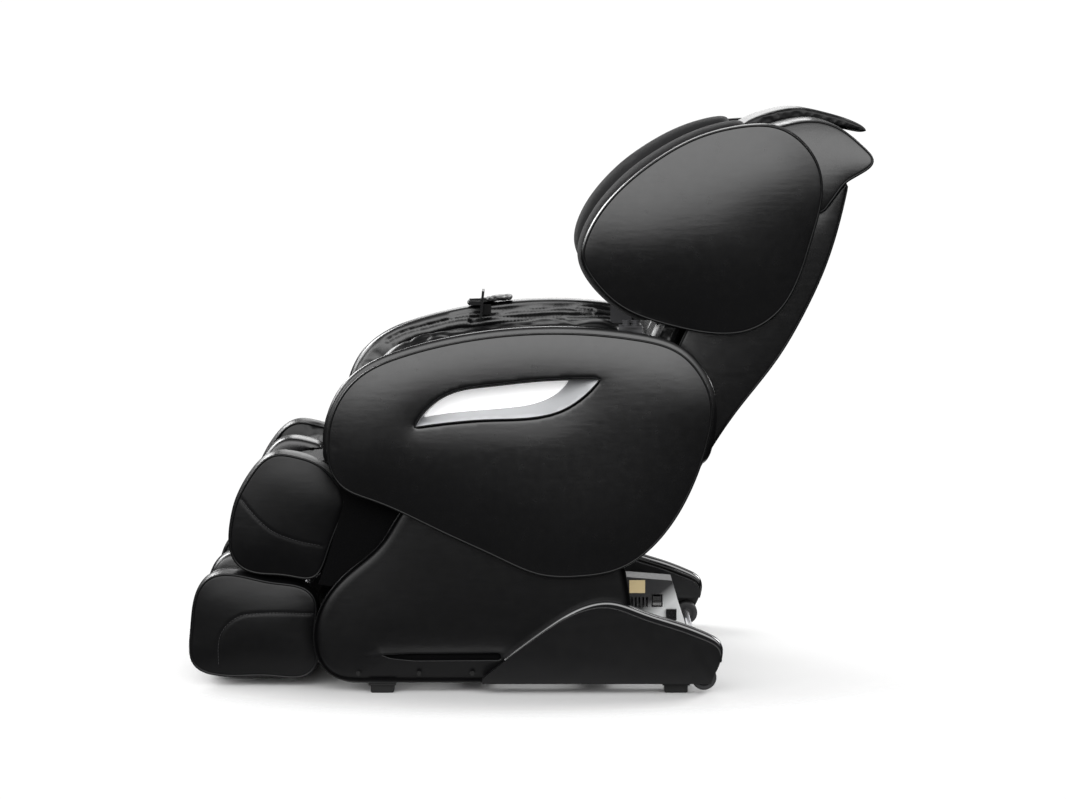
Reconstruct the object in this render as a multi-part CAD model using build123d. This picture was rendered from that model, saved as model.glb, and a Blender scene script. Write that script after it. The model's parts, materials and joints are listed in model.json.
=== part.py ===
from build123d import *
from math import cos, radians, sin
import os

# Massage chair. Millimetres; the origin is on the floor under the middle of the chair, +Z is up,
# the sitter faces -Y and +X is the sitter's left. Outlines are (y, z) points in the side plane.

# ---- Driving dimensions -------------------------------------------------------------------------
ARM_OUT = 378            # outer face of the arm pods, half the chair's width
ARM_LIP = 350            # inner face of the pods' outer lip, which hangs over the side covers
ARM_POD_IN = 305         # inner face of the pods' upper block
FOREARM_IN, FOREARM_OUT = 240, 297  # inner and outer faces of the forearm pads
ARM_CROWN = 15           # how far the padded rim stands outside the pod's outer seam
ARM_SKIRT_Z = 450        # lower face of the pods' upper block
POCKET_X = 332           # bottom of the grip pocket in the pod's outer face
LINER_WALL = 2.5

COVER_OUT, COVER_IN = 347, 322
SKIRT_OUT, SKIRT_TRIM = 362, 13
RAIL_OUT, RAIL_IN = 318, 286
BASE_FLOOR = 20          # underside of the covers and rails, on 20 mm feet
FOOT_X, FOOT_Y, FOOT_SIZE_X, FOOT_SIZE_Y = 326, (-298, 283), 36, 46

WHEEL_YZ, WHEEL_R, AXLE_R = (338, 31), 25, 6
RUNNING_GAP = 0.05       # radial clearance of a shaft in its bore

TILT_YZ, TILT_PIN_R = (120, 240), 8          # seat frame on the base
RECLINE_YZ, RECLINE_PIN_R = (170, 330), 8    # backrest on the seat frame
LEG_YZ, LEG_ROD_R = (-442, 408), 7           # calf unit on the seat frame
SEAT_RAIL_IN, SEAT_RAIL_OUT = 258, 266
SEAT_TUBE_Y, SEAT_TUBE_Z, SEAT_TUBE_R = (-335, -180, -70), 320, 12
BACK_PLATE_IN, BACK_PLATE_OUT = 246, 254
PIVOT_PLATE_IN = 272
SEAT_HALF = 234          # half width of the seat cushion

BACK_YZ, BACK_LEAN = (118, 450), radians(25)  # foot of the backrest's front face and its lean
SHELL_HALF, PAD_HALF, CAP_HALF = 269, 262, 262
WING_IN, WING_OUT, WING_PAD_IN = 272, 330, 190

CALF_HALF, CALF_WALL_IN, CALF_DIVIDER_HALF = 300, 213, 43
LEG_SLOT_X, LEG_SLOT_HALF, LEG_PLATE_HALF = 150, 11, 5
SLIDE_ROD_X, SLIDE_ROD_R = 125, 8

TILT_ACTUATOR_X = 110
RECLINE_ACTUATOR_X = -70
RECLINE_CRANK, LEG_CRANK = 90, 60             # pivot to actuator pin
RECLINE_SWING, LEG_SWING = radians(21), radians(42.5)
OPEN_PIN_R, OPEN_EYE_R, EYE_R = 5, 14.5, 21   # actuator pins run free in wide eyes

# ---- Outlines, each a loop through (y, z) points ------------------------------------------------
ARM_OUTLINE = [
    (-401, 509), (-387, 568), (-336, 634), (-258, 671), (-101, 707), (60, 717), (205, 704),
    (285, 679), (324, 640), (348, 586), (343, 509), (314, 419), (250, 312), (170, 251),
    (92, 236), (14, 239), (-64, 271), (-182, 326), (-320, 389), (-376, 415), (-399, 455),
]
POCKET_TOP = [(-230, 534), (-204, 571), (-157, 601), (-87, 614), (6, 624), (130, 628)]
POCKET_LOW = [(130, 628), (99, 595), (53, 566), (6, 554), (-88, 549), (-181, 541), (-230, 534)]
LINER_TOP = [(-215, 548), (-196, 571), (-155, 599), (-87, 612), (6, 621), (72, 626)]
LINER_LOW = [(72, 626), (50, 598), (8, 577), (-50, 567), (-110, 562), (-170, 556), (-215, 548)]
COVER_FRONT = [(-404, 30), (-430, 68), (-436, 107), (-430, 152), (-398, 211), (-340, 263),
               (-300, 299), (-270, 350), (-235, 396)]
SKIRT_TOP = [(-100, 32), (-63, 66), (14, 126), (83, 170), (151, 186), (218, 165), (289, 142),
             (345, 120), (370, 102), (372, 74), (360, 46), (351, 22)]
WING_OUTLINE = [
    (96, 872), (113, 919), (161, 985), (235, 1047), (312, 1091), (411, 1117), (480, 1114),
    (530, 1082), (561, 1032), (567, 985), (550, 905), (524, 821), (484, 752), (425, 714),
    (355, 708), (270, 724), (170, 763), (117, 815),
]
SHELL_REAR = [(620, 1009), (605, 938), (577, 843), (535, 748), (480, 653), (406, 557),
              (345, 465), (300, 380)]
CAP_TOP = [(394.5, 1043), (440, 1094), (500, 1117), (559, 1123), (610, 1104), (652, 1068),
           (668, 1048), (646, 1026), (610, 1006)]
CALF_OUTLINE = [
    (-485, 470), (-523, 467), (-567, 419), (-592, 371), (-603, 323), (-605, 275), (-592, 246),
    (-560, 228), (-490, 222), (-430, 219), (-413, 248), (-390, 313), (-370, 375), (-388, 416),
    (-432, 455),
]
FOOT_OUTLINE = [
    (-686, 94), (-682, 130), (-672, 190), (-647, 223), (-600, 231), (-520, 214), (-440, 193),
    (-428, 170), (-434, 110), (-428, 47), (-442, 25), (-520, 19), (-640, 22), (-680, 42),
]


# ---- Helpers ------------------------------------------------------------------------------------
def face_of(*runs):
    """Face in the side plane bounded by runs of points: two are a line, more are a curve."""
    edges = [Line(*run) if len(run) == 2 else Spline(*run) for run in runs]
    return make_face([Plane.YZ * edge for edge in edges])


def loop_face(points):
    return make_face(Plane.YZ * Spline(*points, periodic=True))


def grown(points, amount):
    """The loop of points moved outwards by an amount, along the normal at each point."""
    moved = []
    for index, (y, z) in enumerate(points):
        before, after = points[index - 1], points[(index + 1) % len(points)]
        normal = Vector(before[1] - after[1], after[0] - before[0]).normalized()
        moved.append((y + normal.X * amount, z + normal.Y * amount))
    return moved


def polygon_face(points):
    return make_face(Plane.YZ * Polyline(*points, close=True))


def across(face, x_low, x_high):
    """The face pulled out across the chair from x_low to x_high."""
    return Pos(x_low, 0, 0) * extrude(face, amount=x_high - x_low, dir=(1, 0, 0))


def block(x, y, z):
    """Box from three (low, high) pairs."""
    corner = (x[0], y[0], z[0])
    size = (x[1] - x[0], y[1] - y[0], z[1] - z[0])
    return Pos(*corner) * Box(*size, align=(Align.MIN, Align.MIN, Align.MIN))


def rod(yz, radius, x_low, x_high):
    """Round bar along X."""
    return Pos((x_low + x_high) / 2, *yz) * Rot(0, 90, 0) * Cylinder(radius, x_high - x_low)


def bar(start, end, radius, x=0):
    """Round bar between two (y, z) points."""
    path = Vector(0, end[0] - start[0], end[1] - start[1])
    plane = Plane(origin=(x, *start), z_dir=path)
    return plane * Cylinder(radius, path.length, align=(Align.CENTER, Align.CENTER, Align.MIN))


def right(shape):
    """The mirror image on the sitter's right."""
    return mirror(shape, about=Plane.YZ)


def pair(shape):
    return [shape, right(shape)]


def group(*shapes):
    solids = [solid for shape in shapes for solid in shape.solids()]
    return Compound(solids)


def back_at(up, depth):
    """(y, z) of a point so far up the backrest and so far behind its front face."""
    y = BACK_YZ[0] + up * sin(BACK_LEAN) + depth * cos(BACK_LEAN)
    z = BACK_YZ[1] + up * cos(BACK_LEAN) - depth * sin(BACK_LEAN)
    return (y, z)


def back_block(x, up, depth):
    """Box squared to the backrest."""
    corners = [(up[0], depth[0]), (up[1], depth[0]), (up[1], depth[1]), (up[0], depth[1])]
    return across(polygon_face([back_at(*corner) for corner in corners]), *x)


def crank_pin(pivot, radius, angle):
    """(y, z) of a pin below a pivot, swung back from straight down by an angle."""
    return (pivot[0] + radius * sin(angle), pivot[1] - radius * cos(angle))


def fork_end(yz, x, along):
    """Actuator rod end: two cheeks with wide eyes either side of a lug."""
    cheeks = []
    for side in (-1, 1):
        x_low = x + side * 10 - 3
        cheek = rod(yz, EYE_R, x_low, x_low + 6) - rod(yz, OPEN_EYE_R, x_low - 1, x_low + 7)
        cheeks.append(cheek)
    back = Vector(0, *along).normalized() * -(EYE_R + 3)
    plane = Plane(origin=(x, yz[0] + back.Y, yz[1] + back.Z), z_dir=(0, *along))
    bridge = plane * Box(26, 26, 12)
    return cheeks[0] + cheeks[1] + bridge


# ---- Base ---------------------------------------------------------------------------------------
def base_frame():
    """Two floor rails, three cross tubes and the two plates that carry the seat's pivot."""
    rail = block((RAIL_IN, RAIL_OUT), (-372, 318), (BASE_FLOOR, 58))
    tubes = [block((-RAIL_IN, RAIL_IN), (y - 15, y + 15), (26, 52)) for y in (-340, -60, 170)]
    plate_points = [(60, 52.5), (186, 52.5), (150, 240), (138, 264), (102, 264), (88, 240)]
    plate = across(polygon_face(plate_points), PIVOT_PLATE_IN, RAIL_IN)
    plate -= rod(TILT_YZ, TILT_PIN_R + RUNNING_GAP, PIVOT_PLATE_IN - 1, RAIL_IN + 1)
    lug_points = [(-80, 52), (-40, 52), (-48, 84), (-60, 92), (-72, 84)]
    lugs = []
    for side in (-1, 1):
        x = TILT_ACTUATOR_X + side * 22
        lug = across(polygon_face(lug_points), x - 4, x + 4)
        lugs.append(lug - rod((-60, 76), 6, x - 5, x + 5))
    return group(*pair(rail), *tubes, *pair(plate), *lugs)


def pivot_pins(yz, radius, x_low, x_high):
    """A headed pin on each side."""
    pin = rod(yz, radius, x_low, x_high) + rod(yz, radius + 5, x_low - 4, x_low)
    return group(*pair(pin))


def side_cover():
    """Upholstered lower side panel: a thick skin, hollow behind, with a finger recess."""
    rear = [(-235, 396), (150, 400)]
    back_edge = [(150, 400), (196, 172)]
    step = [(196, 172), (196, BASE_FLOOR)]
    bottom = [(196, BASE_FLOOR), (-380, BASE_FLOOR)]
    toe = [(-380, BASE_FLOOR), (-404, 30)]
    face = face_of(COVER_FRONT, rear, back_edge, step, bottom, toe)
    cover = across(face, COVER_IN, COVER_OUT)
    hollow_points = [(-385, 120), (-250, 330), (-222, 384), (140, 388), (180, 175), (180, 120)]
    cover -= across(polygon_face(hollow_points), COVER_IN - 1, COVER_OUT - 9)
    recess_points = [(-305, 78), (-240, 82), (-60, 83), (-60, 64), (-235, 63), (-285, 68)]
    return cover - across(polygon_face(recess_points), COVER_OUT - 12, COVER_OUT + 1)


def skirt_crease():
    """Lower edge of the skirt's trim: the top outline dropped most in the middle, not at its ends."""
    last = len(SKIRT_TOP) - 1
    line = []
    for index, (y, z) in enumerate(SKIRT_TOP):
        drop = SKIRT_TRIM * sin(radians(180 * index / last)) ** 0.6 if 0 < index < last else 0
        line.append((y - drop * 0.4, z - drop))
    return line


def skirt_body(face):
    """A skirt face pulled out as a side plate, and a pod over the wheel behind the side cover."""
    plate = across(face, COVER_OUT + 1, SKIRT_OUT)
    pod = across(face, RAIL_OUT + 1, COVER_OUT + 1) & block((300, 370), (200, 400), (66, 300))
    return plate + pod


def skirt_face(top):
    """Skirt outline below a top line."""
    corner = (top[0][0], top[-1][1])
    return face_of(top, [top[-1], corner], [corner, top[0]])


def rear_skirt():
    """Moulded fin over the rear wheel."""
    fin = skirt_body(skirt_face(skirt_crease()))
    return fin & block((300, 370), (-200, 400), (BASE_FLOOR + 1, 300))


def skirt_trim():
    """Piano black strip along the top edge of the skirt, proud of its side by 2 mm."""
    face = skirt_face(SKIRT_TOP)
    strip = skirt_body(face) + across(face, SKIRT_OUT, SKIRT_OUT + 2)
    strip -= across(skirt_face(skirt_crease()), 300, 370)
    strip &= block((300, 370), (-60, 400), (BASE_FLOOR + 30, 300))
    return max(strip.solids(), key=lambda solid: solid.volume)


def feet():
    """Four rubber feet, each with a moulded collar."""
    pads = []
    for y in FOOT_Y:
        sole = Pos(FOOT_X, y, 8) * Box(FOOT_SIZE_X, FOOT_SIZE_Y, 16)
        collar = Pos(FOOT_X, y, 18) * Box(FOOT_SIZE_X + 6, FOOT_SIZE_Y + 8, 4)
        pads += pair(chamfer(sole.edges().group_by(Axis.Z)[0], 3) + collar)
    return group(*pads)


def wheel_axle():
    return rod(WHEEL_YZ, AXLE_R, -SKIRT_OUT + 16, SKIRT_OUT - 16)


def wheel():
    """Transport wheel with a moulded hub, which meets the floor when the chair is tipped back."""
    tyre = rod(WHEEL_YZ, WHEEL_R, 321, 345)
    tyre = fillet(tyre.edges().filter_by(GeomType.CIRCLE), 4)
    for x_low in (321, 341):
        tyre -= rod(WHEEL_YZ, 16, x_low, x_low + 4)
        tyre += rod(WHEEL_YZ, 10, x_low, x_low + 4)
    return tyre - rod(WHEEL_YZ, AXLE_R + RUNNING_GAP, 300, 360)


def front_cover():
    """Curved black panel between the side covers, behind the leg unit."""
    outer = [(-378, 60), (-360, 160), (-326, 262)]
    inner = [(-322, 262), (-356, 160), (-374, 60)]
    face = face_of(outer, [outer[-1], inner[0]], inner, [inner[-1], outer[0]])
    return across(face, -PIVOT_PLATE_IN - 12, PIVOT_PLATE_IN + 12)


POWER_X = (-262, -190)
SWITCH_YZ = (268, 84)


def power_box():
    """Sheet metal power supply with a sloped rear end, slots for the switch and the inlet."""
    points = [(200, 30), (330, 30), (318, 66), (300, 128), (200, 136)]
    box = across(polygon_face(points), *POWER_X)
    inside = [(203, 33), (325, 33), (314, 66), (297, 125), (203, 133)]
    box -= across(polygon_face(inside), POWER_X[0] + 3, POWER_X[1] - 3)
    box -= block((POWER_X[1] - 8, POWER_X[1] + 1), (256, 280), (70, 98))
    for index in range(5):
        y = 212 + 8 * index
        box -= block((POWER_X[1] - 8, POWER_X[1] + 1), (y, y + 4), (70, 92))
    return box


def power_inlet():
    """Appliance inlet: a shrouded socket with three contact blades."""
    x_face = POWER_X[1]
    body = block((x_face, x_face + 6), (288, 310), (42, 66))
    body -= block((x_face + 2, x_face + 7), (291, 307), (45, 63))
    for y, z in ((295, 51), (303, 51), (299, 58)):
        body += block((x_face + 1, x_face + 5), (y - 1, y + 1), (z - 2, z + 2))
    return body


def power_switch():
    """Rocker in the power box's side."""
    x_face = POWER_X[1]
    rocker = block((x_face - 5, x_face + 4), (259, 277), (74, 94))
    hollow = Pos(x_face + 27.5, *SWITCH_YZ) * Rot(90, 0, 0) * Cylinder(26, 60)
    return rocker - hollow


def rating_plate():
    """Plain pressed plate beside the switch."""
    return block((POWER_X[1], POWER_X[1] + 1.2), (208, 242), (101, 129))


def air_pump():
    """Twin-head air pump on the floor rails, with its outlet nozzle."""
    body = block((-80, 30), (20, 130), (53, 110))
    body = fillet(body.edges().filter_by(Axis.Z), 12)
    heads = [Pos(x, 75, 117) * Cylinder(20, 14) for x in (-52, 2)]
    return body + heads[0] + heads[1] + bar((130, 85), (150, 85), 6, x=-25)


def cover_screws():
    """Pan-head screws that hold the side covers to the rails."""
    screws = []
    for y in (-345, -225, -120):
        head = rod((y, 40), 5, COVER_OUT, COVER_OUT + 2.5)
        screws += pair(chamfer(head.edges().group_by(Axis.X)[-1], 1))
    return group(*screws)


# ---- Actuators ----------------------------------------------------------------------------------
TILT_BASE_YZ, TILT_SEAT_YZ = (-60, 76), (-300, 290)
TUBE_R, ROD_R = 16, 9    # motor tubes and their rods
RECLINE_Z = 243
LEG_ACTUATOR_Z = 356


def tilt_actuator_body():
    """Motor tube of the zero-gravity actuator, with its eye on the base's lugs."""
    along = Vector(0, TILT_SEAT_YZ[0] - TILT_BASE_YZ[0], TILT_SEAT_YZ[1] - TILT_BASE_YZ[1])
    unit = along.normalized()
    start = (TILT_BASE_YZ[0] + unit.Y * 9, TILT_BASE_YZ[1] + unit.Z * 9)
    end = (TILT_BASE_YZ[0] + unit.Y * 190, TILT_BASE_YZ[1] + unit.Z * 190)
    tube = bar(start, end, 17, x=TILT_ACTUATOR_X)
    x_low, x_high = TILT_ACTUATOR_X - 17.5, TILT_ACTUATOR_X + 17.5
    eye = rod(TILT_BASE_YZ, 13, x_low, x_high) - rod(TILT_BASE_YZ, 6, x_low - 1, x_high + 1)
    bore_start = (TILT_BASE_YZ[0] + unit.Y * 60, TILT_BASE_YZ[1] + unit.Z * 60)
    bore = bar(bore_start, (end[0] + unit.Y, end[1] + unit.Z), ROD_R + RUNNING_GAP, x=TILT_ACTUATOR_X)
    return tube - bore - rod(TILT_BASE_YZ, 13, x_low, x_high) + eye


def tilt_actuator_rod():
    along = (TILT_SEAT_YZ[0] - TILT_BASE_YZ[0], TILT_SEAT_YZ[1] - TILT_BASE_YZ[1])
    unit = Vector(0, *along).normalized()
    start = (TILT_BASE_YZ[0] + unit.Y * 75, TILT_BASE_YZ[1] + unit.Z * 75)
    end = (TILT_SEAT_YZ[0] - unit.Y * (EYE_R + 4), TILT_SEAT_YZ[1] - unit.Z * (EYE_R + 4))
    return bar(start, end, ROD_R, x=TILT_ACTUATOR_X) + fork_end(TILT_SEAT_YZ, TILT_ACTUATOR_X, along)


def recline_actuator_body():
    tube = bar((-190, RECLINE_Z), (40, RECLINE_Z), TUBE_R, x=RECLINE_ACTUATOR_X)
    tube -= bar((-170, RECLINE_Z), (41, RECLINE_Z), ROD_R + RUNNING_GAP, x=RECLINE_ACTUATOR_X)
    saddle = block((RECLINE_ACTUATOR_X - 14, RECLINE_ACTUATOR_X + 14), (-190, -170),
                   (RECLINE_Z + 14, 308))
    return tube + saddle


def recline_actuator_rod():
    pin = crank_pin(RECLINE_YZ, RECLINE_CRANK, RECLINE_SWING)
    shaft = bar((-70, RECLINE_Z), (pin[0] - EYE_R - 4, RECLINE_Z), ROD_R, x=RECLINE_ACTUATOR_X)
    return shaft + fork_end((pin[0], RECLINE_Z), RECLINE_ACTUATOR_X, (1, 0))


def leg_actuator_body():
    tube = bar((-290, LEG_ACTUATOR_Z), (-60, LEG_ACTUATOR_Z), TUBE_R)
    tube -= bar((-291, LEG_ACTUATOR_Z), (-80, LEG_ACTUATOR_Z), ROD_R + RUNNING_GAP)
    saddle = block((-14, 14), (-80, -60), (332, LEG_ACTUATOR_Z - 14))
    return tube + saddle


def leg_actuator_rod():
    pin = crank_pin(LEG_YZ, LEG_CRANK, LEG_SWING)
    shaft = bar((-220, LEG_ACTUATOR_Z), (pin[0] + EYE_R + 4, LEG_ACTUATOR_Z), ROD_R)
    return shaft + fork_end((pin[0], LEG_ACTUATOR_Z), 0, (-1, 0))


# ---- Seat ---------------------------------------------------------------------------------------
def seat_frame():
    """Side rails with their pivot ears, cross tubes, leg hinge plates and arm brackets."""
    rail_points = [(-352, 302), (90, 302), (92, 240), (104, 222), (136, 222), (148, 240),
                   (168, 300), (194, 318), (194, 342), (178, 356), (150, 352), (130, 342), (-352, 342)]
    rail = across(polygon_face(rail_points), SEAT_RAIL_IN, SEAT_RAIL_OUT)
    rail -= rod(TILT_YZ, TILT_PIN_R + RUNNING_GAP, SEAT_RAIL_IN - 1, SEAT_RAIL_OUT + 1)
    rail -= rod(RECLINE_YZ, RECLINE_PIN_R + RUNNING_GAP, SEAT_RAIL_IN - 1, SEAT_RAIL_OUT + 1)
    tubes = [rod((y, SEAT_TUBE_Z), SEAT_TUBE_R, -SEAT_RAIL_IN, SEAT_RAIL_IN) for y in SEAT_TUBE_Y]
    front_tube = (SEAT_TUBE_Y[0], SEAT_TUBE_Z)
    hinge_points = [(-352, 302), (-347, 334), (-430, 422), (-444, 424), (-458, 412), (-454, 396)]
    hinge = across(polygon_face(hinge_points), LEG_SLOT_X - LEG_PLATE_HALF, LEG_SLOT_X + LEG_PLATE_HALF)
    hinge -= rod(LEG_YZ, LEG_ROD_R + RUNNING_GAP, LEG_SLOT_X - 10, LEG_SLOT_X + 10)
    hinge -= rod(front_tube, SEAT_TUBE_R, LEG_SLOT_X - 10, LEG_SLOT_X + 10)
    lug_points = [(-312, 280), (-286, 280), (-290, 331), (-325, 331), (-322, 305)]
    lug = across(polygon_face(lug_points), TILT_ACTUATOR_X - 4, TILT_ACTUATOR_X + 4)
    lug -= rod(front_tube, SEAT_TUBE_R, TILT_ACTUATOR_X - 5, TILT_ACTUATOR_X + 5)
    pin_x = (TILT_ACTUATOR_X - 12, TILT_ACTUATOR_X + 12)
    lug += rod(TILT_SEAT_YZ, OPEN_PIN_R, *pin_x)
    arms = []
    for y in (-260, 20):
        foot = block((SEAT_RAIL_OUT, 304), (y, y + 40), (320, 326))
        riser = block((298, 304), (y, y + 40), (326, 640))
        arms += pair(foot + riser)
    return group(*pair(rail), *tubes, *pair(hinge), lug, *arms)


def seat_pan():
    """Moulded board under the cushion."""
    return block((-SEAT_HALF, SEAT_HALF), (-338, 78), (374, 384))


def seat_valances():
    """Black boards that close the sides between the seat and the leg unit."""
    points = [(-395, 449.5), (-374, 376), (-392, 313), (-408, 262), (-426, 212), (-380, 204),
              (-300, 262), (-200, 340), (-200, 449.5)]
    return group(*pair(across(polygon_face(points), 304.1, 308)))


def seat_cushion():
    """Seat cushion with a rolled front."""
    top = [(-362, 408), (-352, 434), (-310, 446), (-150, 440), (20, 430), (84, 428)]
    front = [(-340, 384.3), (-356, 390), (-362, 408)]
    face = face_of(top, [(84, 428), (80, 384.3)], [(80, 384.3), (-340, 384.3)], front)
    return across(face, -SEAT_HALF, SEAT_HALF)


def arm_pod():
    """Padded arm: an outer lip of the full outline and an upper block, with a grip pocket."""
    seam = loop_face(ARM_OUTLINE)
    lip = across(seam, ARM_LIP, ARM_OUT)
    crown = across(loop_face(grown(ARM_OUTLINE, ARM_CROWN)), ARM_POD_IN, ARM_LIP)
    crown &= block((300, 380), (-500, 500), (ARM_SKIRT_Z, 800))
    pocket = across(face_of(POCKET_TOP, POCKET_LOW), POCKET_X, ARM_OUT + 1)
    return lip + crown - pocket


def arm_liner():
    """Tapered silver cup in the grip pocket, with a pale floor."""
    mouth = Pos(ARM_OUT - 1, 0, 0) * face_of(POCKET_TOP, POCKET_LOW)
    floor = Pos(POCKET_X + LINER_WALL, 0, 0) * face_of(LINER_TOP, LINER_LOW)
    solid = across(face_of(POCKET_TOP, POCKET_LOW), POCKET_X, ARM_OUT - 1)
    return solid - loft([floor, mouth])


def forearm_pad():
    """Inner arm pad, whose rear end leans with the backrest."""
    top = [(-358, 470), (-350, 560), (-300, 628), (-180, 668), (0, 688), (100, 690), (204, 672)]
    rear = [(204, 672), (80, 402)]
    face = face_of(top, rear, [(80, 402), (-330, 402)], [(-330, 402), (-352, 425), (-358, 470)])
    return across(face, FOREARM_IN, FOREARM_OUT)


HOLDER_YZ, HOLDER_X = (-110, 722), -262


def remote_holder():
    """Cradle for a hand control: a thin leaning plate with a short ledge, side lips and a tab."""
    plate = Rot(-5.5, 0, 0) * Box(70, 5, 58)
    ledge = Pos(0, -15, 1) * Box(70, 26, 4)
    lips = [Pos(x, -15, 5) * Box(4, 26, 6) for x in (-33, 33)]
    tab = Pos(-38.5, 8, -16) * Box(8, 22, 22)
    cradle = plate + ledge + lips[0] + lips[1] + tab
    return Pos(HOLDER_X, *HOLDER_YZ) * cradle


def holder_strap():
    """Leather sleeve round the top of the right arm, which carries the cradle."""
    over = across(loop_face(grown(ARM_OUTLINE, ARM_CROWN + 4)), ARM_POD_IN, ARM_LIP)
    over -= across(loop_face(grown(ARM_OUTLINE, ARM_CROWN + 0.1)), ARM_POD_IN - 1, ARM_LIP + 1)
    over &= block((300, 380), (-142, -46), (690, 800))
    return right(over)


def hose_couplings():
    """Air hose couplings between arm and backrest: ribbed bodies on a small bracket."""
    bracket = block((299.5, 304.5), (168, 214), (676, 728))
    bracket += block((299.5, 330), (176, 206), (724.5, 728))
    for y in (182, 200):
        barrel = Pos(316, y, 728) * Cylinder(6.5, 10, align=(Align.CENTER, Align.CENTER, Align.MIN))
        for height in (1.5, 5, 8.5):
            barrel += Pos(316, y, 728 + height) * Cylinder(7.5, 1.6)
        bracket += barrel
    return group(*pair(bracket))


# ---- Backrest -----------------------------------------------------------------------------------
TRACK_TOP, TRACK_FOOT = 580, -55
PAD_DEPTH = 50
TRACK_X, TRACK_DEPTH = (128, 150), (72, 112)
SCREW_R, SCREW_DEPTH = 6, 98


def back_frame():
    """Side plates that hang on the recline pins, cross tubes and the actuator's crank lug."""
    corners = [(-112, 80), (-112, 116), (-60, 130), (TRACK_TOP, 130), (TRACK_TOP, 60), (-50, 60)]
    plate = across(polygon_face([back_at(*corner) for corner in corners]), BACK_PLATE_IN, BACK_PLATE_OUT)
    plate -= rod(RECLINE_YZ, RECLINE_PIN_R + RUNNING_GAP, BACK_PLATE_IN - 1, BACK_PLATE_OUT + 1)
    tubes = [rod(back_at(up, 122), 9, -BACK_PLATE_IN, BACK_PLATE_IN) for up in (-40, 270, 560)]
    top = back_at(-40, 122)
    pin = crank_pin(RECLINE_YZ, RECLINE_CRANK, RECLINE_SWING)
    lug_points = [(pin[0] - 11, pin[1]), (pin[0], pin[1] - 11), (pin[0] + 11, pin[1]),
                  (top[0] + 10, top[1]), (top[0] - 22, top[1])]
    lug = across(polygon_face(lug_points), RECLINE_ACTUATOR_X - 4, RECLINE_ACTUATOR_X + 4)
    lug -= rod(top, 9, RECLINE_ACTUATOR_X - 5, RECLINE_ACTUATOR_X + 5)
    lug += rod(pin, OPEN_PIN_R, RECLINE_ACTUATOR_X - 12, RECLINE_ACTUATOR_X + 12)
    return group(*pair(plate), *tubes, lug)


def track_rails():
    """The channels that guide the massage carriage."""
    rail = back_block(TRACK_X, (TRACK_FOOT, TRACK_TOP), TRACK_DEPTH)
    cavity = back_block((TRACK_X[0] - 1, TRACK_X[1] - 4), (TRACK_FOOT - 1, TRACK_TOP + 1),
                        (TRACK_DEPTH[0] + 4, TRACK_DEPTH[1] - 4))
    return group(*pair(rail - cavity))


def lead_screw():
    """Screw along the middle of the track, which drives the carriage."""
    foot, top = back_at(-40, SCREW_DEPTH), back_at(TRACK_TOP - 10, SCREW_DEPTH)
    screw = bar(foot, top, SCREW_R)
    for up in (-40, TRACK_TOP - 22):
        screw += bar(back_at(up, SCREW_DEPTH), back_at(up + 12, SCREW_DEPTH), 12)
    return screw


def back_shell():
    """Rear shell of the backrest, open to the front."""
    front_foot, front_top = back_at(-38, 58), back_at(590, 58)
    face = face_of(SHELL_REAR, [SHELL_REAR[-1], front_foot], [front_foot, front_top],
                   [front_top, (566, 943)], [(566, 943), (610, 1002)], [(610, 1002), SHELL_REAR[0]])
    wall = 9
    inner_rear = [(y - wall * 1.1, z + wall * 0.5) for y, z in SHELL_REAR]
    hollow = [back_at(760, 0), *inner_rear, back_at(-120, 58), back_at(-120, 0)]
    shell = across(face, -SHELL_HALF, SHELL_HALF)
    return shell - across(polygon_face(hollow), -SHELL_HALF + wall, SHELL_HALF - wall)


def back_pad():
    """Front pad of the backrest, over the massage track."""
    return back_block((-PAD_HALF, PAD_HALF), (-60, 652), (0, PAD_DEPTH))


def head_cap():
    """Upholstered top of the backrest."""
    seam = [CAP_TOP[-1], (566, 945), (431, 983), (441, 1021.5), CAP_TOP[0]]
    runs = [[seam[index], seam[index + 1]] for index in range(len(seam) - 1)]
    return across(face_of(CAP_TOP, *runs), -CAP_HALF, CAP_HALF)


def head_pillow():
    """Loose pillow in front of the head, and its flap folded back over the top of the backrest."""
    outline = [back_at(*corner) for corner in ((498, -36), (520, -66), (590, -74), (655, -66),
                                               (680, -40), (664, -15), (590, -10), (514, -13))]
    pillow = across(loop_face(outline), -150, 150)
    top = [(405, 1100), (440, 1124), (486, 1140), (527, 1147), (589, 1137), (640, 1122), (676, 1105)]
    low = [(676, 1098), (640, 1105), (600, 1115), (559, 1127), (500, 1122), (440, 1101), (402, 1076)]
    flap = across(face_of(top, [top[-1], low[0]], low, [low[-1], top[0]]), -105, 105)
    return group(pillow, flap)


def wing():
    return across(loop_face(WING_OUTLINE), WING_IN, WING_OUT)


def wing_pads():
    """Fabric pads on the inner faces of the wings, in front of the back pad."""
    pad = across(loop_face(grown(WING_OUTLINE, 12)), WING_PAD_IN, WING_IN - 2)
    ahead = [back_at(-300, -4), back_at(900, -4), back_at(900, -600), back_at(-300, -600)]
    return group(*pair(pad & across(polygon_face(ahead), 100, 400)))


# ---- Massage carriage ---------------------------------------------------------------------------
CARRIAGE_UP = (250, 370)
KNEAD_AT, SWING_AT = (272, 64), (318, 82)
HEAD_REACH, HEAD_R, HEAD_X = 85, 18, (58, 84)


def carriage_frame():
    """Open channel on guide rollers, with the drive nut."""
    floor = back_block((-122, 122), CARRIAGE_UP, (106, 109.5))
    floor += back_block((-12, 12), (340, 362), (88, 107))
    for side in pair(back_block((114, 122), CARRIAGE_UP, (56, 107))):
        floor += side
    for at in (KNEAD_AT, SWING_AT):
        floor -= rod(back_at(*at), 5 + RUNNING_GAP, -130, 130)
    nut_bore = bar(back_at(330, SCREW_DEPTH), back_at(372, SCREW_DEPTH), SCREW_R + RUNNING_GAP)
    return floor - nut_bore


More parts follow.
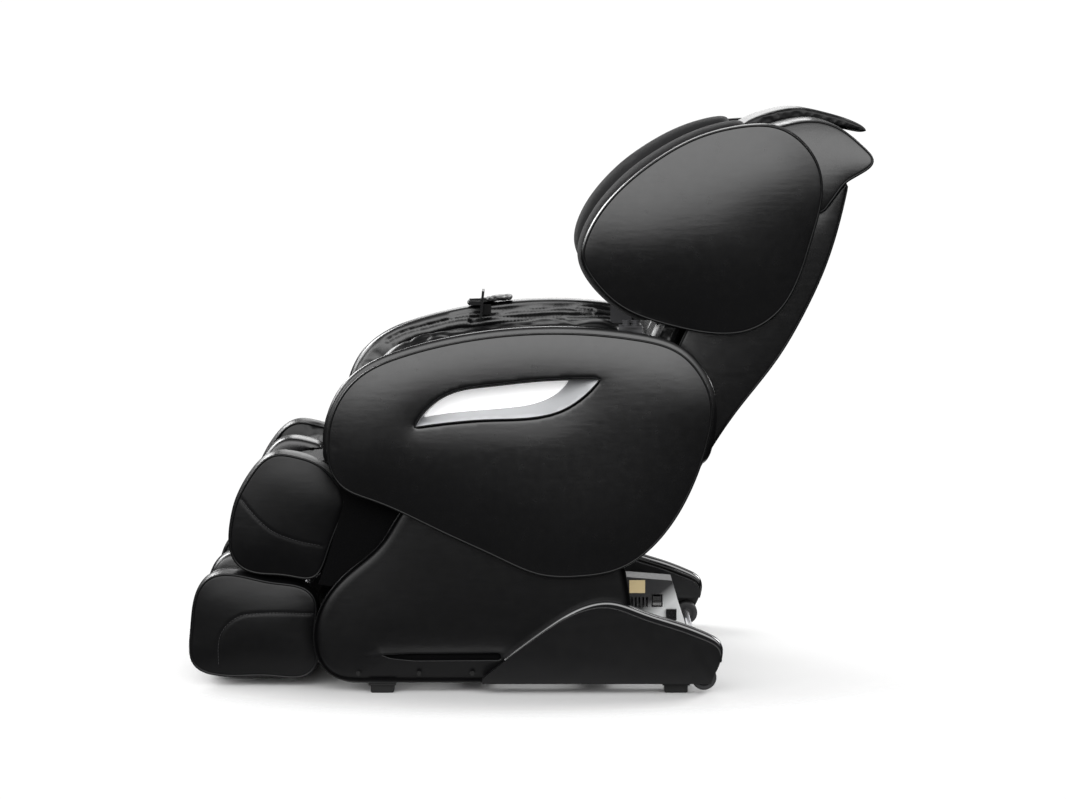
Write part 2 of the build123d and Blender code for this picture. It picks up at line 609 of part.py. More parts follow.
def guide_rollers():
    """Four rollers in the track and the rod that the massage arms swing on."""
    rollers = []
    for up in (262, 358):
        rollers += pair(rod(back_at(up, 92), 13, 123, 142))
    rollers.append(rod(back_at(*SWING_AT), 5, -121.5, 121.5))
    return group(*rollers)


def knead_shaft():
    """Shaft with two eccentric hubs."""
    shaft = rod(back_at(*KNEAD_AT), 5, -121.5, 121.5)
    hub_at = back_at(KNEAD_AT[0], KNEAD_AT[1] + 2)
    for x_low in (30, -50):
        shaft += rod(hub_at, 8, x_low, x_low + 20)
    return shaft


def massage_arm():
    """Rocking arm with a kneading head at each end."""
    at = SWING_AT
    beam_corners = [(at[0] - HEAD_REACH, at[1] - 8), (at[0] + HEAD_REACH, at[1] - 8),
                    (at[0] + HEAD_REACH, at[1] + 6), (at[0] + 14, at[1] + 13), (at[0] - 14, at[1] + 13),
                    (at[0] - HEAD_REACH, at[1] + 6)]
    beam = across(polygon_face([back_at(*corner) for corner in beam_corners]), 66, 76)
    for sign in (-1, 1):
        head = rod(back_at(at[0] + sign * HEAD_REACH, at[1]), HEAD_R, *HEAD_X)
        beam += fillet(head.edges().filter_by(GeomType.CIRCLE), 7)
    return beam - rod(back_at(*at), 5 + RUNNING_GAP, 50, 90)


# ---- Calf and foot units ------------------------------------------------------------------------
CALF_CORE = [(-474, 432), (-430, 434), (-392, 408), (-376, 376), (-395, 313), (-417, 248),
             (-431, 226), (-507, 226)]
ROD_FOOT, ROD_TOP = (-464, 165), (-407.2, 385)
FOOT_ROLLER_YZ = (-560, 64)
ROLLER_SHAFT_R, ROLLER_DRUM_R = 6, 18


def calf_core():
    """Rigid back of the calf unit: hinge bores, slots for the hinge plates and the actuator."""
    core = across(polygon_face(CALF_CORE), -CALF_WALL_IN + 2, CALF_WALL_IN - 2)
    for x in (-LEG_SLOT_X, LEG_SLOT_X):
        core -= block((x - LEG_SLOT_HALF, x + LEG_SLOT_HALF), (-462, -300), (326, 460))
    core -= block((-17, 17), (-433, -300), (329, 460))
    core -= rod(LEG_YZ, LEG_ROD_R + RUNNING_GAP, -206, 206)
    reach = (ROD_TOP[0] + (ROD_TOP[0] - ROD_FOOT[0]) * 0.03, ROD_TOP[1] + (ROD_TOP[1] - ROD_FOOT[1]) * 0.03)
    for x in (-SLIDE_ROD_X, SLIDE_ROD_X):
        core -= bar(ROD_FOOT, reach, SLIDE_ROD_R + RUNNING_GAP, x=x)
    pin = crank_pin(LEG_YZ, LEG_CRANK, LEG_SWING)
    lug_points = [(-434, 352), (-434, 328), (-412, 328), (pin[0] + 8, pin[1] - 5), (pin[0] + 4, pin[1] + 8),
                  (pin[0] - 6, pin[1] + 8)]
    core += across(polygon_face(lug_points), -4, 4)
    return core + rod(pin, OPEN_PIN_R, -12, 12)


def calf_walls():
    """Padded outer walls and the divider between the two calf channels."""
    profile = loop_face(CALF_OUTLINE)
    wall = across(profile, CALF_WALL_IN, CALF_HALF)
    divider = across(profile, -CALF_DIVIDER_HALF, CALF_DIVIDER_HALF)
    behind = [(-475, 435), (-427, 437), (-427, 500), (-300, 500), (-300, 200), (-508, 200), (-508, 226)]
    divider -= across(polygon_face(behind), -100, 100)
    return group(*pair(wall), divider)


def calf_pads():
    """Floors of the calf channels."""
    points = [(-476, 434), (-509, 227), (-532, 232), (-528, 300), (-508, 400), (-492, 438)]
    pad = across(polygon_face(points), CALF_DIVIDER_HALF + 1, CALF_WALL_IN - 1)
    return group(*pair(pad))


def leg_hinge_rod():
    return rod(LEG_YZ, LEG_ROD_R, -205, 205)


def foot_core():
    """Sole plate and heel wall of the foot unit, bored for the slide rods and the roller shaft."""
    points = [(-668, 26), (-452, 22), (-435, 48), (-441, 110), (-436, 165), (-446, 189), (-482, 194),
              (-480, 60), (-486, 40), (-668, 40)]
    core = across(polygon_face(points), -CALF_WALL_IN + 2, CALF_WALL_IN - 2)
    for x in (-SLIDE_ROD_X, SLIDE_ROD_X):
        core -= bar(ROD_FOOT, ROD_TOP, SLIDE_ROD_R + RUNNING_GAP, x=x)
    y, z = FOOT_ROLLER_YZ
    for ear in pair(block((CALF_WALL_IN - 10, CALF_WALL_IN - 2), (y - 14, y + 14), (40, z + 14))):
        core += ear
    return core - rod(FOOT_ROLLER_YZ, ROLLER_SHAFT_R + RUNNING_GAP, -210, 210)


def slide_rods():
    bars = [bar(ROD_FOOT, ROD_TOP, SLIDE_ROD_R, x=x) for x in (-SLIDE_ROD_X, SLIDE_ROD_X)]
    return group(*bars)


def foot_walls():
    """Padded outer walls and the divider between the two foot wells."""
    profile = loop_face(FOOT_OUTLINE)
    wall = across(profile, CALF_WALL_IN, CALF_HALF)
    divider = across(profile, -CALF_DIVIDER_HALF, CALF_DIVIDER_HALF)
    behind = [(-669, 41), (-487, 41), (-482, 60), (-484, 196), (-480, 300), (-400, 300), (-400, 0),
              (-669, 0)]
    divider -= across(polygon_face(behind), -100, 100)
    divider -= rod(FOOT_ROLLER_YZ, ROLLER_SHAFT_R + 3, -100, 100)
    return group(*pair(wall), divider)


def foot_pads():
    """Cushioned soles over the rollers."""
    points = [(-668, 42), (-668, 66), (-600, 92), (-530, 95), (-484, 86), (-482, 62), (-487, 42)]
    pad = across(polygon_face(points), CALF_DIVIDER_HALF + 1, CALF_WALL_IN - 11)
    return group(*pair(pad - rod(FOOT_ROLLER_YZ, ROLLER_DRUM_R + 3, 0, 300)))


def foot_roller():
    """Sole massage rollers: lobed drums on one shaft."""
    shaft = rod(FOOT_ROLLER_YZ, ROLLER_SHAFT_R, -209, 209)
    for centre in (-CALF_WALL_IN / 2 - 20, CALF_WALL_IN / 2 + 20):
        for step in (-48, -16, 16, 48):
            drum = rod(FOOT_ROLLER_YZ, ROLLER_DRUM_R, centre + step - 11, centre + step + 11)
            shaft += fillet(drum.edges().filter_by(GeomType.CIRCLE), 5)
    return shaft


# ---- Every node ---------------------------------------------------------------------------------
NODES = {
    "base_frame": base_frame,
    "seat_pivot_pins": lambda: pivot_pins(TILT_YZ, TILT_PIN_R, SEAT_RAIL_IN - 6, RAIL_IN),
    "front_cover": front_cover,
    "feet": feet,
    "wheel_axle": wheel_axle,
    "wheel_left": wheel,
    "wheel_right": lambda: right(wheel()),
    "side_cover_left": side_cover,
    "side_cover_right": lambda: right(side_cover()),
    "rear_skirt_left": rear_skirt,
    "rear_skirt_right": lambda: right(rear_skirt()),
    "skirt_trims": lambda: group(*pair(skirt_trim())),
    "cover_screws": cover_screws,
    "power_box": power_box,
    "power_inlet": power_inlet,
    "power_switch": power_switch,
    "rating_plate": rating_plate,
    "air_pump": air_pump,
    "tilt_actuator_body": tilt_actuator_body,
    "tilt_actuator_rod": tilt_actuator_rod,
    "seat_frame": seat_frame,
    "recline_pins": lambda: pivot_pins(RECLINE_YZ, RECLINE_PIN_R, BACK_PLATE_IN - 4, SEAT_RAIL_OUT + 2),
    "seat_pan": seat_pan,
    "seat_valances": seat_valances,
    "seat_cushion": seat_cushion,
    "arm_pod_left": arm_pod,
    "arm_pod_right": lambda: right(arm_pod()),
    "arm_liners": lambda: group(*pair(arm_liner())),
    "forearm_pads": lambda: group(*pair(forearm_pad())),
    "remote_holder": remote_holder,
    "holder_strap": holder_strap,
    "hose_couplings": hose_couplings,
    "recline_actuator_body": recline_actuator_body,
    "recline_actuator_rod": recline_actuator_rod,
    "leg_actuator_body": leg_actuator_body,
    "leg_actuator_rod": leg_actuator_rod,
    "back_frame": back_frame,
    "track_rails": track_rails,
    "lead_screw": lead_screw,
    "back_shell": back_shell,
    "back_pad": back_pad,
    "head_cap": head_cap,
    "head_pillow": head_pillow,
    "wing_left": wing,
    "wing_right": lambda: right(wing()),
    "wing_pads": wing_pads,
    "carriage_frame": carriage_frame,
    "guide_rollers": guide_rollers,
    "knead_shaft": knead_shaft,
    "massage_arm_left": massage_arm,
    "massage_arm_right": lambda: right(massage_arm()),
    "calf_core": calf_core,
    "calf_walls": calf_walls,
    "calf_pads": calf_pads,
    "leg_hinge_rod": leg_hinge_rod,
    "foot_core": foot_core,
    "slide_rods": slide_rods,
    "foot_walls": foot_walls,
    "foot_pads": foot_pads,
    "foot_roller": foot_roller,
}

os.makedirs("parts", exist_ok=True)
for name, make in NODES.items():
    export_step(make(), f"parts/{name}.step")
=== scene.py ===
import json
from math import copysign, cos, pi, radians, sin

import bmesh
import bpy
import numpy as np
from mathutils import Matrix, Vector
from mathutils.bvhtree import BVHTree
from mathutils.geometry import delaunay_2d_cdt


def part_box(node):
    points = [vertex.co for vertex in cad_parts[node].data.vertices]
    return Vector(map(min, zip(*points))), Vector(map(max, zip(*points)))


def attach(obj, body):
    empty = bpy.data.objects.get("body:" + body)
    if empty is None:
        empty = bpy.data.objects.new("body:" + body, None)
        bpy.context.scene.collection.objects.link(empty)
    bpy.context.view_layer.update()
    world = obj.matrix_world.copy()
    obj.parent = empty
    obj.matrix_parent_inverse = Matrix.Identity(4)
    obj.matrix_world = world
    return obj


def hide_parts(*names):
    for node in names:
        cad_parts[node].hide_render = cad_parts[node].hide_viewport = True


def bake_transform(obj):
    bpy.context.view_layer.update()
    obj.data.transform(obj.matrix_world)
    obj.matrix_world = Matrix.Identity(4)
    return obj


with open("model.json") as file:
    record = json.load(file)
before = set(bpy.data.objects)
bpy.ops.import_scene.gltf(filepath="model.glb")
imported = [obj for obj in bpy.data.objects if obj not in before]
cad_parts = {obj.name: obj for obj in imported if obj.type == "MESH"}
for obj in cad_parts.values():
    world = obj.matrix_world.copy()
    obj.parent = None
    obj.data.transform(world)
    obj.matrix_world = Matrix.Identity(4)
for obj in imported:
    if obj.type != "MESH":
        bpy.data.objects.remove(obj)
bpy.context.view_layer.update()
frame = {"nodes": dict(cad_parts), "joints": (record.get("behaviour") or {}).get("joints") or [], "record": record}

# Massage chair: leather arms, wings and pads round the CAD frame. Metres, in the frame's axes:
# +Z up, the sitter faces -Y, +X is the sitter's left. Loops are arrays of (y, z) in the side plane.

STEP = 0.008          # spacing of the points of a pad before its subdivision
PIPING_R = 0.0024
LEG_PIPING_R = 0.0028
HOLE_LIFT = 0.80      # height of a crowned face at the edge of a hole, as a part of its crown
CLEAR = 0.6           # least gap between a face's inner points and its outline, in steps
ROW_GAP = 0.87        # gap between rows of inner points, in steps
PRESSURE = 4.0        # Cloth pressure in every pad
CLOTH_FRAMES = 20
RAY_START = 0.4       # how far outside a piece the rays start that lay a line on it
CREASE_REACH = 4      # widths of a crease beyond which it moves nothing
JOINTS = {joint["name"]: joint for joint in frame["joints"]}


# ---- Outlines in the side plane ---------------------------
def joined(node):
    """A CAD node's points, with the doubled ones joined, and its faces."""
    mesh = frame["nodes"][node].data
    co = np.empty(len(mesh.vertices) * 3)
    mesh.vertices.foreach_get("co", co)
    points, index = np.unique(np.round(co.reshape(-1, 3), 5), axis=0, return_inverse=True)
    index = index.reshape(-1)
    return points, [[int(index[v]) for v in face.vertices] for face in mesh.polygons]


def loops_at(node, x):
    """Outlines of the flat faces that a CAD node has at x, longest first, anticlockwise."""
    points, faces = joined(node)
    shared = {}
    for face in faces:
        if all(abs(points[v][0] - x) < 2e-4 for v in face):
            for a, b in zip(face, face[1:] + face[:1]):
                if a != b:
                    edge = frozenset((a, b))
                    shared[edge] = shared.get(edge, 0) + 1
    links = {}
    for edge, count in shared.items():
        if count == 1:
            a, b = edge
            links.setdefault(a, []).append(b)
            links.setdefault(b, []).append(a)
    loops = []
    while links:
        loop = [next(iter(links))]
        while loop[-1] in links:
            ahead = [v for v in links.pop(loop[-1]) if v in links]
            if not ahead:
                break
            loop.append(ahead[0])
        if len(loop) > 2:
            loops.append(anticlockwise(points[loop][:, 1:]))
    return sorted(loops, key=lambda loop: -abs(area(loop)))


def area(loop):
    """Signed area, above zero for an anticlockwise loop."""
    ahead = np.roll(loop, -1, axis=0)
    return 0.5 * float(np.sum(loop[:, 0] * ahead[:, 1] - ahead[:, 0] * loop[:, 1]))


def anticlockwise(loop):
    return loop if area(loop) > 0 else loop[::-1]


def resampled(line, step, closed=True):
    """Evenly spaced points along a line of any dimension."""
    line = np.asarray(line, float)
    if closed:
        line = np.vstack([line, line[:1]])
    along = np.concatenate([[0], np.cumsum(np.linalg.norm(np.diff(line, axis=0), axis=1))])
    count = max(4, round(along[-1] / step))
    at = np.linspace(0, along[-1], count + 1)
    if closed:
        at = at[:-1]
    return np.stack([np.interp(at, along, line[:, k]) for k in range(line.shape[1])], axis=1)


def relaxed(loop, passes):
    """The loop with its corners eased, each pass by a little."""
    for _ in range(int(passes)):
        loop = 0.5 * loop + 0.25 * (np.roll(loop, 1, axis=0) + np.roll(loop, -1, axis=0))
    return loop


def outward(loop):
    """Unit normals of an anticlockwise loop."""
    tangent = np.roll(loop, -1, axis=0) - np.roll(loop, 1, axis=0)
    normal = np.stack([tangent[:, 1], -tangent[:, 0]], axis=1)
    return normal / np.maximum(np.linalg.norm(normal, axis=1, keepdims=True), 1e-9)


def shifted(loop, amount, most=0.003):
    """The loop moved outwards, or inwards for less than zero, in short eased moves."""
    count = max(1, round(abs(amount) / most))
    for _ in range(count):
        loop = loop + outward(loop) * amount / count
        if amount < 0:
            loop = relaxed(loop, 1)
    return loop


def distance_to(loop, points):
    """How far each point is from the loop."""
    ahead = np.roll(loop, -1, axis=0) - loop
    rel = points[:, None, :] - loop[None]
    t = np.sum(rel * ahead, axis=2) / np.maximum(np.sum(ahead * ahead, axis=1), 1e-12)
    nearest = rel - np.clip(t, 0, 1)[..., None] * ahead
    return np.sqrt(np.min(np.sum(nearest * nearest, axis=2), axis=1))


def inside(loop, points):
    """Which points lie inside the loop."""
    ahead = np.roll(loop, -1, axis=0)
    y, z = points[:, 0][:, None], points[:, 1][:, None]
    spans = (loop[:, 1] > z) != (ahead[:, 1] > z)
    rise = ahead[:, 1] - loop[:, 1]
    run = ahead[:, 0] - loop[:, 0]
    at = loop[:, 0] + (z - loop[:, 1]) * run / np.where(rise == 0, 1e-12, rise)
    return np.sum(spans & (y < at), axis=1) % 2 == 1


def filled(outer, hole, step):
    """Evenly spread points inside an outline, clear of a hole, and the triangles over all of them.
    Triangles count the outline's points first, then the hole's, then the points inside."""
    low, high = outer.min(0), outer.max(0)
    grid = []
    for row, z in enumerate(np.arange(low[1], high[1], step * ROW_GAP)):
        grid += [(y + (row % 2) * step / 2, z) for y in np.arange(low[0], high[0], step)]
    grid = np.array(grid)
    grid = grid[inside(outer, grid)]
    grid = grid[distance_to(outer, grid) > CLEAR * step]
    rings = [outer]
    if hole is not None:
        grid = grid[~inside(hole, grid)]
        grid = grid[distance_to(hole, grid) > CLEAR * step]
        rings.append(hole)
    edges, first = [], 0
    for ring in rings:
        count = len(ring)
        edges += [(first + k, first + (k + 1) % count) for k in range(count)]
        first += count
    flat = np.vstack(rings + [grid])
    found = delaunay_2d_cdt([Vector(point) for point in flat], edges, [], 0, 1e-7)
    source = [origins[0] if origins else -1 for origins in found[3]]
    triangles = np.array([[source[v] for v in face] for face in found[2]])
    triangles = triangles[np.all(triangles >= 0, axis=1)]
    middle = flat[triangles].mean(axis=1)
    keep = inside(outer, middle)
    if hole is not None:
        keep &= ~inside(hole, middle)
    return grid, triangles[keep]


# ---- Padded forms -----------------------------------------
class Form:
    """Points and faces under construction."""

    def __init__(self):
        self.points, self.faces, self.pins = [], [], []

    def add(self, x, flat):
        """Adds points at x, one number or one for each, and returns their numbers."""
        first = len(self.points)
        xs = np.broadcast_to(np.asarray(x, float), (len(flat),))
        self.points += [(px, py, pz) for px, (py, pz) in zip(xs, flat)]
        return np.arange(first, first + len(flat))

    def band(self, a, b):
        """Joins two rings of the same count with quads."""
        count = len(a)
        for k in range(count):
            n = (k + 1) % count
            self.faces.append((int(a[k]), int(a[n]), int(b[n]), int(b[k])))

    def cap(self, ring, hole, rim, rise, reach, step):
        """Crowned end over a ring of points, which stands out by rise away from its edges."""
        flat = np.array([self.points[v][1:] for v in ring])
        hollow = None if hole is None else np.array([self.points[v][1:] for v in hole])
        grid, triangles = filled(flat, hollow, step)
        fixed = np.zeros(len(ring)) if hole is None else np.concatenate(
            [np.zeros(len(ring)), np.full(len(hole), HOLE_LIFT)])
        lift = np.concatenate([fixed, 1 - np.exp(-distance_to(flat, grid) / reach)])
        if rise:
            edges = np.vstack([triangles[:, pair] for pair in ((0, 1), (1, 2), (2, 0))])
            edges = np.vstack([edges, edges[:, ::-1]])
            degree = np.maximum(np.bincount(edges[:, 0], minlength=len(lift)), 1)
            for _ in range(round(0.15 * (reach / step) ** 2) + 4):
                mean = np.bincount(edges[:, 0], lift[edges[:, 1]], len(lift)) / degree
                lift[len(fixed):] = mean[len(fixed):]
        middle = self.add(rim + rise * lift[len(fixed):], grid)
        order = np.concatenate([ring, middle] if hole is None else [ring, hole, middle])
        self.faces += [tuple(int(order[v]) for v in triangle) for triangle in triangles]


def bolster(loop, x_low, x_high, corner=0.010, crown=(0.005, 0.005), belly=0.003, step=STEP,
            start=0.002, reach=0.030, hole=None, floor=None, lip=0.003):
    """Closed padded form: a side outline carried from x_low to x_high, with rounded edges, a belly
    between them and crowned ends. A hole goes right through, or down to a floor at some x."""
    form = Form()
    rim_low, rim_high = x_low + crown[0], x_high - crown[1]
    base = relaxed(resampled(loop, step), 2 * (corner / step) ** 2 + 1)
    base = resampled(shifted(base, -start), step)
    turns = np.linspace(0, pi / 2, 4)
    stations = [(rim_low + corner * (1 - cos(t)), corner * (sin(t) - 1)) for t in turns]
    count = max(2, round((rim_high - rim_low - 2 * corner) / step))
    for k in range(1, count):
        x = rim_low + corner + (rim_high - rim_low - 2 * corner) * k / count
        stations.append((x, belly * sin(pi * k / count)))
    stations += [(rim_high - corner * (1 - cos(t)), corner * (sin(t) - 1)) for t in turns[::-1]]
    rings = [form.add(x, shifted(base, grow)) for x, grow in stations]
    for a, b in zip(rings, rings[1:]):
        form.band(a, b)
    high_hole = low_hole = None
    if hole is not None:
        mouth = relaxed(resampled(hole, step * 0.75), 2)
        away = outward(mouth)
        high_hole = form.add(rim_high + crown[1] * HOLE_LIFT, mouth + away * lip)
        turn = form.add(rim_high + crown[1] * HOLE_LIFT - lip, mouth)
        form.band(turn, high_hole)
        if floor is None:
            low_hole = form.add(rim_low, mouth)
            form.band(low_hole, turn)
            form.pins += list(low_hole)
        else:
            deep = form.add(floor, mouth)
            form.band(deep, turn)
            form.cap(deep, None, floor, 0, reach, step)
            form.pins += list(deep)
        form.pins += list(high_hole) + list(turn)
    form.cap(rings[0], low_hole, rim_low, -crown[0], reach, step)
    form.cap(rings[-1], high_hole, rim_high, crown[1], reach, step)
    form.pins += list(rings[-3]) + list(rings[-2])
    bulge = 0.3 * corner
    edge = shifted(base, -bulge)
    form.high_edge = np.array([(rim_high - bulge, *point) for point in edge])
    form.low_edge = np.array([(rim_low + bulge, *point) for point in edge])
    return form


def tube(path, radius, closed=True, sides=8):
    """Round tube along points."""
    path = np.asarray(path, float)
    count = len(path)
    if closed:
        tangent = np.roll(path, -1, axis=0) - np.roll(path, 1, axis=0)
    else:
        tangent = np.gradient(path, axis=0)
    tangent /= np.linalg.norm(tangent, axis=1, keepdims=True)
    side = np.cross(tangent, (1, 0, 0))
    if np.min(np.linalg.norm(side, axis=1)) < 0.2:
        side = np.cross(tangent, (0, 0.6, 0.8))
    side /= np.linalg.norm(side, axis=1, keepdims=True)
    other = np.cross(tangent, side)
    form = Form()
    for k in range(count):
        for s in range(sides):
            turn = 2 * pi * s / sides
            around = cos(turn) * side[k] + sin(turn) * other[k]
            form.points.append(tuple(path[k] + radius * around))
    for k in range(count if closed else count - 1):
        n = (k + 1) % count
        for s in range(sides):
            t = (s + 1) % sides
            form.faces.append((k * sides + s, k * sides + t, n * sides + t, n * sides + s))
    if not closed:
        form.faces.append(tuple(range(sides)))
        form.faces.append(tuple((count - 1) * sides + s for s in range(sides)))
    return form


def made(name, form, look):
    """Makes a form into an object."""
    mesh = bpy.data.meshes.new(name)
    mesh.from_pydata([tuple(map(float, point)) for point in form.points], [], form.faces)
    work = bmesh.new()
    work.from_mesh(mesh)
    bmesh.ops.recalc_face_normals(work, faces=work.faces)
    for face in work.faces:
        face.smooth = True
    work.to_mesh(mesh)
    work.free()
    mesh.materials.append(look)
    obj = bpy.data.objects.new(name, mesh)
    bpy.context.scene.collection.objects.link(obj)
    return obj


def piece(name, form, look, body, stands_for=()):
    """Makes a form into an object that rides on a body of the chair."""
    return settled(made(name, form, look), body, stands_for)


def settled(obj, body, stands_for=()):
    """Attaches a piece to its body and hides the CAD nodes that it stands for."""
    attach(obj, body)
    if stands_for:
        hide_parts(*stands_for)
    return obj


def mirrored(obj, name, body, stands_for=()):
    """The same piece on the sitter's other side."""
    twin = bpy.data.objects.new(name, obj.data.copy())
    twin.data.transform(Matrix.Diagonal((-1, 1, 1, 1)))
    twin.data.flip_normals()
    bpy.context.scene.collection.objects.link(twin)
    return settled(twin, body, stands_for)


def coordinates(mesh):
    co = np.empty(len(mesh.vertices) * 3)
    mesh.vertices.foreach_get("co", co)
    return co.reshape(-1, 3)


def moved_to(mesh, co):
    mesh.vertices.foreach_set("co", np.asarray(co, np.float32).reshape(-1))
    mesh.update()


# ---- Cloth ------------------------------------------------
SOFT = []             # (object, form, most that a point may move, slack)


def inflate():
    """Runs Cloth on every soft piece, all together, and keeps the result in its mesh."""
    scene = bpy.context.scene
    for obj, form, _, slack in SOFT:
        cloth = obj.modifiers.new("cloth", "CLOTH")
        cloth.point_cache.frame_start, cloth.point_cache.frame_end = 1, CLOTH_FRAMES
        cloth.settings.quality = 4
        cloth.settings.use_pressure = True
        cloth.settings.uniform_pressure_force = PRESSURE
        cloth.settings.shrink_min = -slack
        cloth.settings.effector_weights.gravity = 0
        if form.pins:
            group = obj.vertex_groups.new(name="held")
            group.add([int(v) for v in form.pins], 1.0, "REPLACE")
            cloth.settings.vertex_group_mass = "held"
    for number in range(1, CLOTH_FRAMES + 1):
        scene.frame_set(number)
    depsgraph = bpy.context.evaluated_depsgraph_get()
    results = []
    for obj, _, cap, _ in SOFT:
        before = coordinates(obj.data)
        move = coordinates(obj.evaluated_get(depsgraph).data) - before
        size = np.maximum(np.linalg.norm(move, axis=1, keepdims=True), 1e-9)
        results.append(before + move / size * cap * np.tanh(size / cap))
    for (obj, *_), co in zip(SOFT, results):
        obj.modifiers.remove(obj.modifiers["cloth"])
        obj.vertex_groups.clear()
        moved_to(obj.data, co)
    scene.frame_set(1)


def subdivided(obj):
    """Replaces a piece's mesh with its subdivision surface, one level finer."""
    modifier = obj.modifiers.new("smooth", "SUBSURF")
    modifier.levels = modifier.render_levels = 1
    depsgraph = bpy.context.evaluated_depsgraph_get()
    finer = bpy.data.meshes.new_from_object(obj.evaluated_get(depsgraph))
    obj.modifiers.remove(modifier)
    old = obj.data
    obj.data = finer
    finer.name = obj.name
    bpy.data.meshes.remove(old)


# ---- Seams ------------------------------------------------
def laid(obj, starts, direction):
    """The line through the starts, cast along a direction onto a piece, in steps of 3 mm."""
    tree = BVHTree.FromPolygons([v.co.copy() for v in obj.data.vertices],
                                [tuple(face.vertices) for face in obj.data.polygons])
    direction = Vector(direction).normalized()
    found = []
    for start in resampled(starts, 0.003, closed=False):
        spot = tree.ray_cast(Vector(start) - direction * RAY_START, direction)[0]
        if spot is not None:
            found.append(tuple(spot))
    return np.array(found)


def creased(obj, path, depth, width):
    """Pulls a piece's surface in along a sewn line."""
    co = coordinates(obj.data)
    normals = np.empty(len(co) * 3)
    obj.data.vertices.foreach_get("normal", normals)
    normals = normals.reshape(-1, 3)
    low, high = path.min(0) - CREASE_REACH * width, path.max(0) + CREASE_REACH * width
    near = np.where(np.all((co > low) & (co < high), axis=1))[0]
    gap = np.full(len(near), 1e9)
    for k in range(0, len(near), 4000):
        rows = near[k:k + 4000]
        gap[k:k + 4000] = np.min(np.linalg.norm(co[rows][:, None] - path[None], axis=2), axis=1)
    co[near] -= normals[near] * (depth * np.exp(-((gap / width) ** 2)))[:, None]
    moved_to(obj.data, co)


def smooth_line(points, spacing=0.004):
    """Rounded line through given points (Catmull-Rom)."""
    points = np.asarray(points, float)
    ends = np.vstack([2 * points[0] - points[1], points, 2 * points[-1] - points[-2]])
    line = []
    for a, b, c, d in zip(ends, ends[1:], ends[2:], ends[3:]):
        for t in np.linspace(0, 1, 12, endpoint=False):
            line.append(0.5 * (2 * b + (c - a) * t + (2 * a - 5 * b + 4 * c - d) * t * t
                               + (3 * b - a - 3 * c + d) * t ** 3))
    line.append(points[-1])
    return resampled(line, spacing, closed=False)


def stitches(path, lift, length=0.0045, gap=0.002, radius=0.0005):
    """Thread along a path in short stitches that stand a little proud."""
    form = Form()
    along = np.concatenate([[0], np.cumsum(np.linalg.norm(np.diff(path, axis=0), axis=1))])
    lift = np.asarray(lift, float)
    for at in np.arange(0.002, along[-1] - length, length + gap):
        spots = [np.array([np.interp(at + length * t, along, path[:, k]) for k in range(3)])
                 for t in (0, 0.35, 0.65, 1)]
        spots = np.array([spot + lift * rise for spot, rise in zip(spots, (-0.5, 1, 1, -0.5))])
        short = tube(spots, radius, closed=False, sides=5)
        first = len(form.points)
        form.points += short.points
        form.faces += [tuple(v + first for v in face) for face in short.faces]
    return form


# ---- Materials --------------------------------------------
class Look:
    """A Principled material under construction, textured in the piece's own space."""

    def __init__(self, name, colour, roughness, **inputs):
        self.material = bpy.data.materials.new(name)
        self.material.use_nodes = True
        self.tree = self.material.node_tree
        self.shader = self.tree.nodes["Principled BSDF"]
        self.shader.inputs["Base Color"].default_value = (*colour, 1)
        self.shader.inputs["Roughness"].default_value = roughness
        for key, value in inputs.items():
            self.shader.inputs[key.replace("_", " ")].default_value = value
        self.place = self.tree.nodes.new("ShaderNodeTexCoord").outputs["Object"]
        self.bumped = None

    def node(self, kind, **settings):
        made = self.tree.nodes.new(kind)
        for key, value in settings.items():
            setattr(made, key, value)
        return made

    def link(self, a, b):
        self.tree.links.new(a, b)

    def noise(self, scale, detail=4.0, distortion=0.0, stretch=None):
        made = self.node("ShaderNodeTexNoise")
        made.inputs["Scale"].default_value = scale
        made.inputs["Detail"].default_value = detail
        made.inputs["Distortion"].default_value = distortion
        self.link(self.stretched(stretch), made.inputs["Vector"])
        return made.outputs["Fac"]

    def stretched(self, stretch):
        if stretch is None:
            return self.place
        made = self.node("ShaderNodeMapping")
        made.inputs["Scale"].default_value = stretch
        self.link(self.place, made.inputs["Vector"])
        return made.outputs["Vector"]

    def cells(self, scale):
        made = self.node("ShaderNodeTexVoronoi", feature="DISTANCE_TO_EDGE")
        made.inputs["Scale"].default_value = scale
        self.link(self.place, made.inputs["Vector"])
        return made.outputs["Distance"]

    def math(self, operation, a, b):
        made = self.node("ShaderNodeMath", operation=operation)
        for slot, value in zip(made.inputs, (a, b)):
            if isinstance(value, (int, float)):
                slot.default_value = value
            else:
                self.link(value, slot)
        return made.outputs[0]

    def ramp(self, value, low, high, at=(0.3, 0.7)):
        """Maps a value onto a range of numbers or colours."""
        made = self.node("ShaderNodeValToRGB")
        for stop, place, level in zip(made.color_ramp.elements, at, (low, high)):
            level = (level,) * 3 if isinstance(level, (int, float)) else level
            stop.position = place
            stop.color = (*level, 1)
        self.link(value, made.inputs["Fac"])
        return made.outputs["Color"]

    def bump(self, height, distance, strength=1.0):
        made = self.node("ShaderNodeBump")
        made.inputs["Distance"].default_value = distance
        made.inputs["Strength"].default_value = strength
        self.link(height, made.inputs["Height"])
        if self.bumped is not None:
            self.link(self.bumped, made.inputs["Normal"])
        self.bumped = made.outputs["Normal"]
        self.link(self.bumped, self.shader.inputs["Normal"])

    def colour(self, value):
        self.link(value, self.shader.inputs["Base Color"])

    def rough(self, value):
        self.link(value, self.shader.inputs["Roughness"])

    def wear(self, base, worn):
        """Base colour that turns to a worn one along sharp edges."""
        edges = self.node("ShaderNodeNewGeometry").outputs["Pointiness"]
        self.colour(self.ramp(self.math("ADD", edges, self.math("MULTIPLY", self.noise(60), 0.03)),
                              base, worn, at=(0.53, 0.60)))


